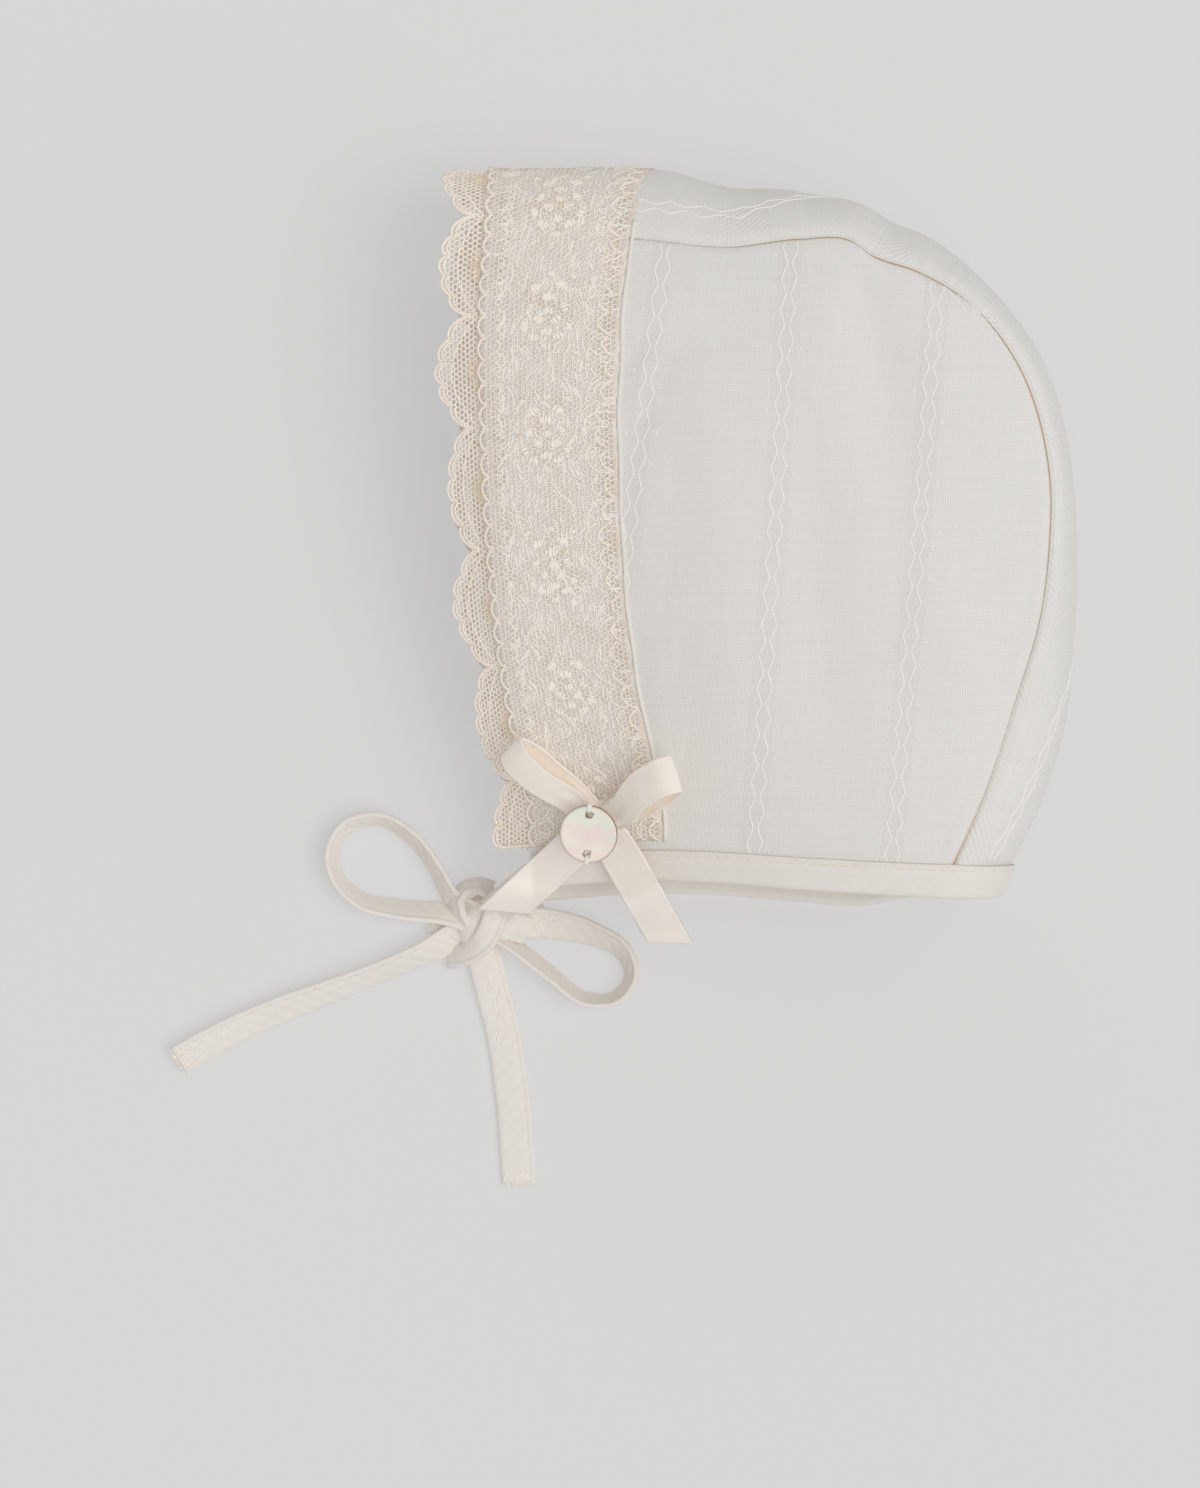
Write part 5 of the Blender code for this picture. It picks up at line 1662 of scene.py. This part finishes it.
def turned(profile, sides, centre):
    """Rings of a profile (radius, height) round the button's axis, closed by two flat ends."""
    angle = 2 * math.pi * np.arange(sides) / sides
    circle_points = np.stack([np.cos(angle), np.sin(angle)], axis=-1)
    flat = profile[:, None, :1] * circle_points + centre
    local = np.concatenate([flat, np.broadcast_to(profile[:, None, 1:2], (*flat.shape[:2], 1))], axis=-1)
    return (button_base + local * MM @ button_frame).reshape(-1, 3), tube_faces(len(profile), sides)


def add_button():
    points, faces = turned(BUTTON_PROFILE, 72, (0.0, 0.0))
    crest = np.repeat(BUTTON_PROFILE[:, 2], 72)
    button = add_piece("shell_button_disc", points, faces, mother_of_pearl(), ("shell_button",), crest=crest)
    cutters = []
    for way in (-0.5, 0.5):
        bore = np.array([(0.5 * BUTTON_HOLE, -1.0), (0.5 * BUTTON_HOLE, 3.0)])
        points, faces = turned(bore, 28, (0.0, way * BUTTON_HOLE_SPACING))
        # The bores carry a crest of 0, which paints the walls of the holes brown as painted shade.
        mesh = as_mesh("bore", points, faces, crest=np.zeros(len(points)))
        cutter = bpy.data.objects.new("bore", mesh)
        bpy.context.scene.collection.objects.link(cutter)
        hole = button.modifiers.new("hole", "BOOLEAN")
        hole.operation = "DIFFERENCE"
        hole.object = cutter
        cutters.append(cutter)
    graph = bpy.context.evaluated_depsgraph_get()
    drilled = bpy.data.meshes.new_from_object(button.evaluated_get(graph))
    button.modifiers.clear()
    button.data = drilled
    drilled.set_sharp_from_angle(angle=math.radians(40))
    for cutter in cutters:
        bpy.data.objects.remove(cutter, do_unlink=True)
    print("button faces:", len(drilled.polygons))


add_button()


# %% The button's thread
def button_threads():
    """Strands that come up out of each hole, cross the face, and go down over the rim."""
    rows = np.array(((4.3, -0.6), (4.45, 1.0), (4.9, 1.72), (5.5, 1.80), (6.05, 1.62), (6.28, 0.9), (6.25, -0.9)))
    line = along(rows, np.linspace(0, 1, 26))
    parts = []
    for way in (-1.0, 1.0):
        for strand in range(4):
            aside = (strand - 1.5) * 0.24 * np.linspace(0.75, 1.15, len(line))
            local = np.stack([aside, way * line[:, 0], line[:, 1] + 0.05 * (strand % 2)], axis=-1)
            parts.append(tube(button_base + local * MM @ button_frame, button_frame[0] + 0 * local, circle(0.13, 6)))
    return parts


add_threads("button_thread", button_threads(), white_thread)

# %% [markdown]
# ## Ties and their bow
# The ties are flat tubes of bias-cut cotton, folded and stitched a millimetre from one edge.
# Each is a flat section with rounded edges and a groove under the stitches, carried along a
# smooth line that turns up on its edge in the loops, as the real ones stand on the floor.

# %% Tables of the ties
TIE_WIDTH, TIE_THICK = 7.2, 1.6
TIE_DROP, TIE_LOOP, TIE_END_FRONT, TIE_END_DOWN = 0.0140, 30.0, 72.0, 56.0
TIE_BOW = {
    "tie_loop_front": (
        (
            # along, across, lift, roll
            (-0.060, 0.070, 0.50, 50.0),
            (-0.200, 0.170, 0.62, 62.0),
            (-0.300, 0.350, 0.60, 68.0),
            (-0.480, 0.590, 0.57, 70.0),
            (-0.710, 0.720, 0.57, 72.0),
            (-0.940, 0.665, 0.57, 72.0),
            (-1.040, 0.490, 0.57, 72.0),
            (-0.990, 0.290, 0.57, 70.0),
            (-0.830, 0.145, 0.56, 66.0),
            (-0.600, 0.090, 0.55, 60.0),
            (-0.200, 0.050, 0.54, 52.0),
            (-0.060, 0.010, 0.50, 45.0),
        ),
        TIE_LOOP,
        -1,
    ),
    "tie_loop_back": (
        (
            (0.060, 0.030, 0.66, -8.0),
            (0.202, 0.000, 0.64, -18.0),
            (0.480, -0.010, 0.56, -30.0),
            (0.800, -0.090, 0.52, -50.0),
            (0.990, -0.200, 0.56, -62.0),
            (1.050, -0.365, 0.56, -72.0),
            (0.950, -0.525, 0.56, -74.0),
            (0.750, -0.545, 0.56, -72.0),
            (0.480, -0.360, 0.56, -70.0),
            (0.186, -0.136, 0.54, -68.0),
            (0.060, -0.050, 0.50, -60.0),
        ),
        TIE_LOOP,
        1,
    ),
    "tie_end_front": (
        (
            (-0.004, -0.010, 0.62, 4.0),
            (-0.0745, -0.0455, 0.44, 24.0),
            (-0.150, -0.083, 0.45, 46.0),
            (-0.300, -0.147, 0.47, 54.0),
            (-0.440, -0.201, 0.47, 48.0),
            (-0.586, -0.256, 0.45, 40.0),
            (-0.776, -0.343, 0.42, 34.0),
            (-0.881, -0.402, 0.38, 30.0),
        ),
        TIE_END_FRONT,
        -1,
    ),
    "tie_end_down": (
        (
            (-0.020, -0.020, 0.50, -5.0),
            (0.010, -0.1235, 0.38, -3.0),
            (0.045, -0.270, 0.20, -1.0),
            (0.078, -0.400, 0.14, 0.0),
            (0.119, -0.680, 0.14, 0.0),
            (0.142, -0.975, 0.14, 0.0),
        ),
        TIE_END_DOWN,
        1,
    ),
}
TIE_LEADS = {
    "tie_lead_left": ("left", ((-0.04, 2.75, 0.0), (0.115, 2.58, 0.0), (0.36, 1.95, 0.0), (0.80, 0.90, 0.0))),
    "tie_lead_right": ("right", ((-0.04, 0.160, 0.0), (0.09, 0.155, 0.0), (0.30, 0.145, 0.0), (0.70, 0.140, 0.0))),
}


# %% The section and the line of a tie
def tie_thickness(x, width, thick, seam_at):
    """Half the thickness at x: full, rounded off at both edges, less a groove at the seam."""
    edge = np.clip(1 - np.abs(2 * x / width) ** 6, 0, 1) ** 0.45
    groove = 0.42 * np.exp(-(((x - seam_at) / 0.42) ** 2))
    fold = 0.10 * np.exp(-(((x - 0.55 * seam_at) / 0.5) ** 2))
    return 0.5 * thick * edge * (1 - groove - fold)


def tie_line(rows, steps):
    """The centre line of a tie with its side and up, from rows of x, y, z and roll."""
    found = along(rows, np.linspace(0, 1, steps), 3)
    run = unit(np.gradient(found[:, :3], axis=0))
    level = unit(np.cross(run, [0.0, 0.0, 1.0]))
    over = np.cross(level, run)
    roll = np.radians(found[:, 3:])
    side = -(np.cos(roll) * level + np.sin(roll) * over)
    return found[:, :3], side, np.cross(run, side)


def add_tie(name, rows, seam_side, replaces=(), width=TIE_WIDTH, thick=TIE_THICK, steps=150):
    """A tie's cloth. The wrinkles of bias cloth run slantwise: a sine of along plus across."""
    path, side, up = tie_line(rows, steps)
    seam_at = seam_side * (0.5 * width - 1.15)
    x = 0.5 * width * np.cos(np.linspace(0, math.pi, 21))
    x = np.concatenate([x, x[-2:0:-1]])
    way = np.repeat([1.0, -1.0], [21, 19])
    run = lengths_along(path)[:, None] / MM
    inward = np.clip(1 - np.abs(2 * x / width), 0, 0.3) / 0.3
    ripple = 0.07 * np.sin(1.9 * (run + 0.9 * x) + 1.5 * np.sin(run / 5.3)) * inward
    bow = 1 + 0.04 * np.sin(run / 4.1 + x / 3.0)
    y = way * tie_thickness(x, width, thick, seam_at) * bow + ripple
    profile = np.stack(np.broadcast_arrays(x, y), axis=-1) * MM
    points = path[:, None] + profile[..., :1] * side[:, None] + profile[..., 1:] * up[:, None]
    points[..., 2] = np.maximum(points[..., 2], 0.0)
    uv = path_uv(points)
    add_piece(name, points.reshape(-1, 3), tube_faces(*points.shape[:2]), bias_cotton, replaces, uv=uv)
    return path, side, up, seam_at


# %% The ties
corners = {name: placed(*edge_rows(name)[1][0]) for name in ("left", "right")}
knot = np.array([corners["left"][0] - 0.8 * TIE_DROP, corners["left"][1] - 0.67 * TIE_DROP, 0.0])
tie_lines = {}
for name, (rows, size, seam_side) in TIE_BOW.items():
    rows = np.array(rows) * [size * MM, size * MM, TIE_WIDTH * MM, 1.0]
    rows[:, :3] += knot
    tie_lines[name] = add_tie(name + "_cloth", rows, seam_side, (name,))
for name, (side_name, rows) in TIE_LEADS.items():
    rows = np.array(rows)
    flat = corners[side_name][:2] + rows[:, :1] * (knot - corners[side_name])[:2]
    add_tie(name + "_cloth", np.column_stack([flat, rows[:, 1] * TIE_WIDTH * MM, rows[:, 2]]), 1, (name,), steps=40)


# %% Stitches, floats and raw ends of the ties
def on_tie(name, share, x, rise=0.05):
    """A point on a tie's upper face, at a share of its length and x millimetres across it."""
    path, side, up, seam_at = tie_lines[name]
    row = share * (len(path) - 1)
    place = np.stack([row, 0 * row], axis=-1)
    spot, side, up = (between(np.repeat(part[:, None], 2, axis=1), place) for part in (path, side, up))
    height = tie_thickness(x, TIE_WIDTH, TIE_THICK, seam_at) + rise
    return spot + (x * MM)[:, None] * side + (height * MM)[:, None] * up, up


TIE_FLOATS = {
    # from share, to share, from x, to x, waves
    "tie_end_down": ((0.20, 0.40, -2.4, 2.0, 3.0), (0.24, 0.46, 1.6, -1.2, 3.0), (0.16, 0.26, 2.2, -2.0, 2.0)),
    "tie_end_front": ((0.86, 0.95, -2.6, 2.6, 2.0), (0.80, 0.90, -2.6, 2.6, 2.0), (0.42, 0.50, 2.4, -2.4, 2.0)),
    "tie_loop_back": ((0.06, 0.13, -2.6, 2.4, 2.0), (0.10, 0.18, -2.6, 2.4, 2.0), (0.14, 0.22, -2.2, 2.6, 2.0)),
    "tie_loop_front": ((0.42, 0.50, 2.2, -1.8, 2.0),),
}
float_parts = []
for name, marks in TIE_FLOATS.items():
    for start, end, x_start, x_end, waves in marks:
        part = np.linspace(0, 1, 60)
        x = x_start + (x_end - x_start) * part + 0.45 * np.sin(2 * math.pi * waves * part)
        spots, up = on_tie(name, start + (end - start) * part, x)
        float_parts.append(tube(spots, up, circle(0.13, 5, flat=0.7)))
add_threads("tie_floats", float_parts, dobby_yarn)

stitch_parts = []
for name, (path, side, up, seam_at) in tie_lines.items():
    share = np.linspace(0.05, 0.985, 300)
    spots, over = on_tie(name, share, 0 * share + seam_at, rise=0.0)
    stitch_parts.append(stitch_row(spots, over, 2.1, (1.45, 0.25, 0.12)))
add_threads("tie_stitches", stitch_parts, light_stitch)

fringe_parts = []
for name in ("tie_end_front", "tie_end_down"):
    x = rng.uniform(-3.3, 3.3, 46)
    spots, up = on_tie(name, 0 * x + 1.0, x, rise=-0.5)
    before, _ = on_tie(name, 0 * x + 0.985, x + rng.uniform(-0.5, 0.5, len(x)), rise=-0.5)
    sizes = np.column_stack([rng.uniform(1.0, 2.4, len(x)), np.full(len(x), 0.22), np.full(len(x), 0.12)])
    lift = up * rng.uniform(-0.35, 0.35, (len(x), 1)) * MM
    fringe_parts.append(grains_at(spots + lift, unit(spots - before), up, sizes, rings=3, sides=5))
    x = np.linspace(-3.1, 3.1, 12)
    spots, up = on_tie(name, 0.975 + 0.008 * (-1.0) ** np.arange(12), x)
    after, _ = on_tie(name, 0.975 - 0.008 * (-1.0) ** np.arange(12), x + 0.5)
    fringe_parts.append(grains_at(spots, unit(after - spots), up, (1.1, 0.28, 0.18)))
add_threads("tie_raw_ends", fringe_parts, outline_yarn)

# %% [markdown]
# ## The knot
# One tie wraps once round the other and pulls it into a soft lump. The lump is an ellipsoid, and
# the wrap, the curl behind it and the tucks beside it are short ties on their own lines, so each
# strand goes over or under the next as in the real knot.

# %% Knot
KNOT_LENGTH, KNOT_WIDTH, KNOT_HEIGHT = 12.5, 9.5, 7.6
KNOT_STRANDS = {
    # rows of x, y, z from the knot's middle in mm and roll in degrees; width, thickness, seam side
    "knot_wrap": (
        (
            (3.6, 5.2, 5.6, 14.0),
            (3.1, 2.4, 8.0, 10.0),
            (2.2, -0.8, 8.7, 2.0),
            (0.6, -3.8, 8.2, -10.0),
            (-2.0, -6.0, 6.2, -22.0),
            (-4.9, -7.2, 3.4, -30.0),
            (-6.2, -7.4, 1.6, -30.0),
        ),
        5.0,
        2.0,
        1,
    ),
    "knot_curl": (
        (
            (-3.6, -0.6, 4.6, 60.0),
            (-4.7, 2.2, 5.6, 66.0),
            (-4.8, 4.9, 6.0, 68.0),
            (-3.2, 7.0, 6.0, 66.0),
            (-0.4, 7.6, 5.8, 60.0),
            (2.4, 6.6, 5.4, 50.0),
        ),
        5.6,
        2.0,
        -1,
    ),
    "knot_tuck_right": (
        (
            (1.6, -0.6, 6.2, 0.0),
            (4.6, -0.4, 6.2, -8.0),
            (7.4, -0.9, 5.4, -16.0),
            (9.6, -1.6, 4.4, -20.0),
        ),
        6.6,
        2.4,
        -1,
    ),
    "knot_tuck_left": (
        (
            (-10.4, -0.2, 1.6, 8.0),
            (-8.0, -1.2, 2.4, 12.0),
            (-5.6, -1.5, 3.4, 12.0),
            (-3.0, -1.6, 4.4, 6.0),
        ),
        4.6,
        1.8,
        1,
    ),
}


def knot_lump():
    """An ellipsoid of rings round its long axis, leaning as the CAD knot does."""
    turn, angle = np.linspace(0.04, math.pi - 0.04, 26)[:, None], 2 * math.pi * np.arange(40) / 40
    local = [np.sin(turn) * np.cos(angle), -np.cos(turn), np.sin(turn) * np.sin(angle)]
    local = 0.5 * np.stack(np.broadcast_arrays(*local), axis=-1) * [KNOT_WIDTH, KNOT_LENGTH, KNOT_HEIGHT] * MM
    lean = math.radians(-20.0)
    x = local[..., 0] * math.cos(lean) - local[..., 1] * math.sin(lean)
    y = local[..., 0] * math.sin(lean) + local[..., 1] * math.cos(lean)
    return knot + np.stack([x, y, local[..., 2] + 0.5 * KNOT_HEIGHT * MM + 0.2 * MM], axis=-1)


lump = knot_lump()
lump_faces = [part[:, ::-1] for part in tube_faces(*lump.shape[:2])]
add_piece("knot_lump", lump.reshape(-1, 3), lump_faces, bias_cotton, ("tie_knot",), uv=path_uv(lump))
for name, (rows, width, thick, seam_side) in KNOT_STRANDS.items():
    rows = np.array(rows) * [MM, MM, MM, 1.0]
    rows[:, :3] += knot
    add_tie(name, rows, seam_side, ("tie_knot",), width=width, thick=thick, steps=70)

# %% [markdown]
# ## Sizes of the cloths
# The size of the piece that each cloth was cut from is the longest row and the longest column
# of its surface, and these are printed for the panels, the strip and the binding. The panels and
# the strip aren't rectangles. The binding is folded along its length over the neck edge. The
# edging is a net of threads with holes between them. The ribbon and the ties are narrower than
# the 10 mm that a sheet has at least.


# %% Measure the cloths
def longest(grid):
    """Longest row and longest column of a grid of points, in millimetres."""
    return [round(float(lengths_along(grid, axis=way).max()) / MM, 1) for way in (1, 0)]


for name, grid in (("left", left_outer), ("strip", strip_outer), ("right", right_outer), ("binding", binding_grid)):
    print(name, "longest row and column in mm:", longest(grid))
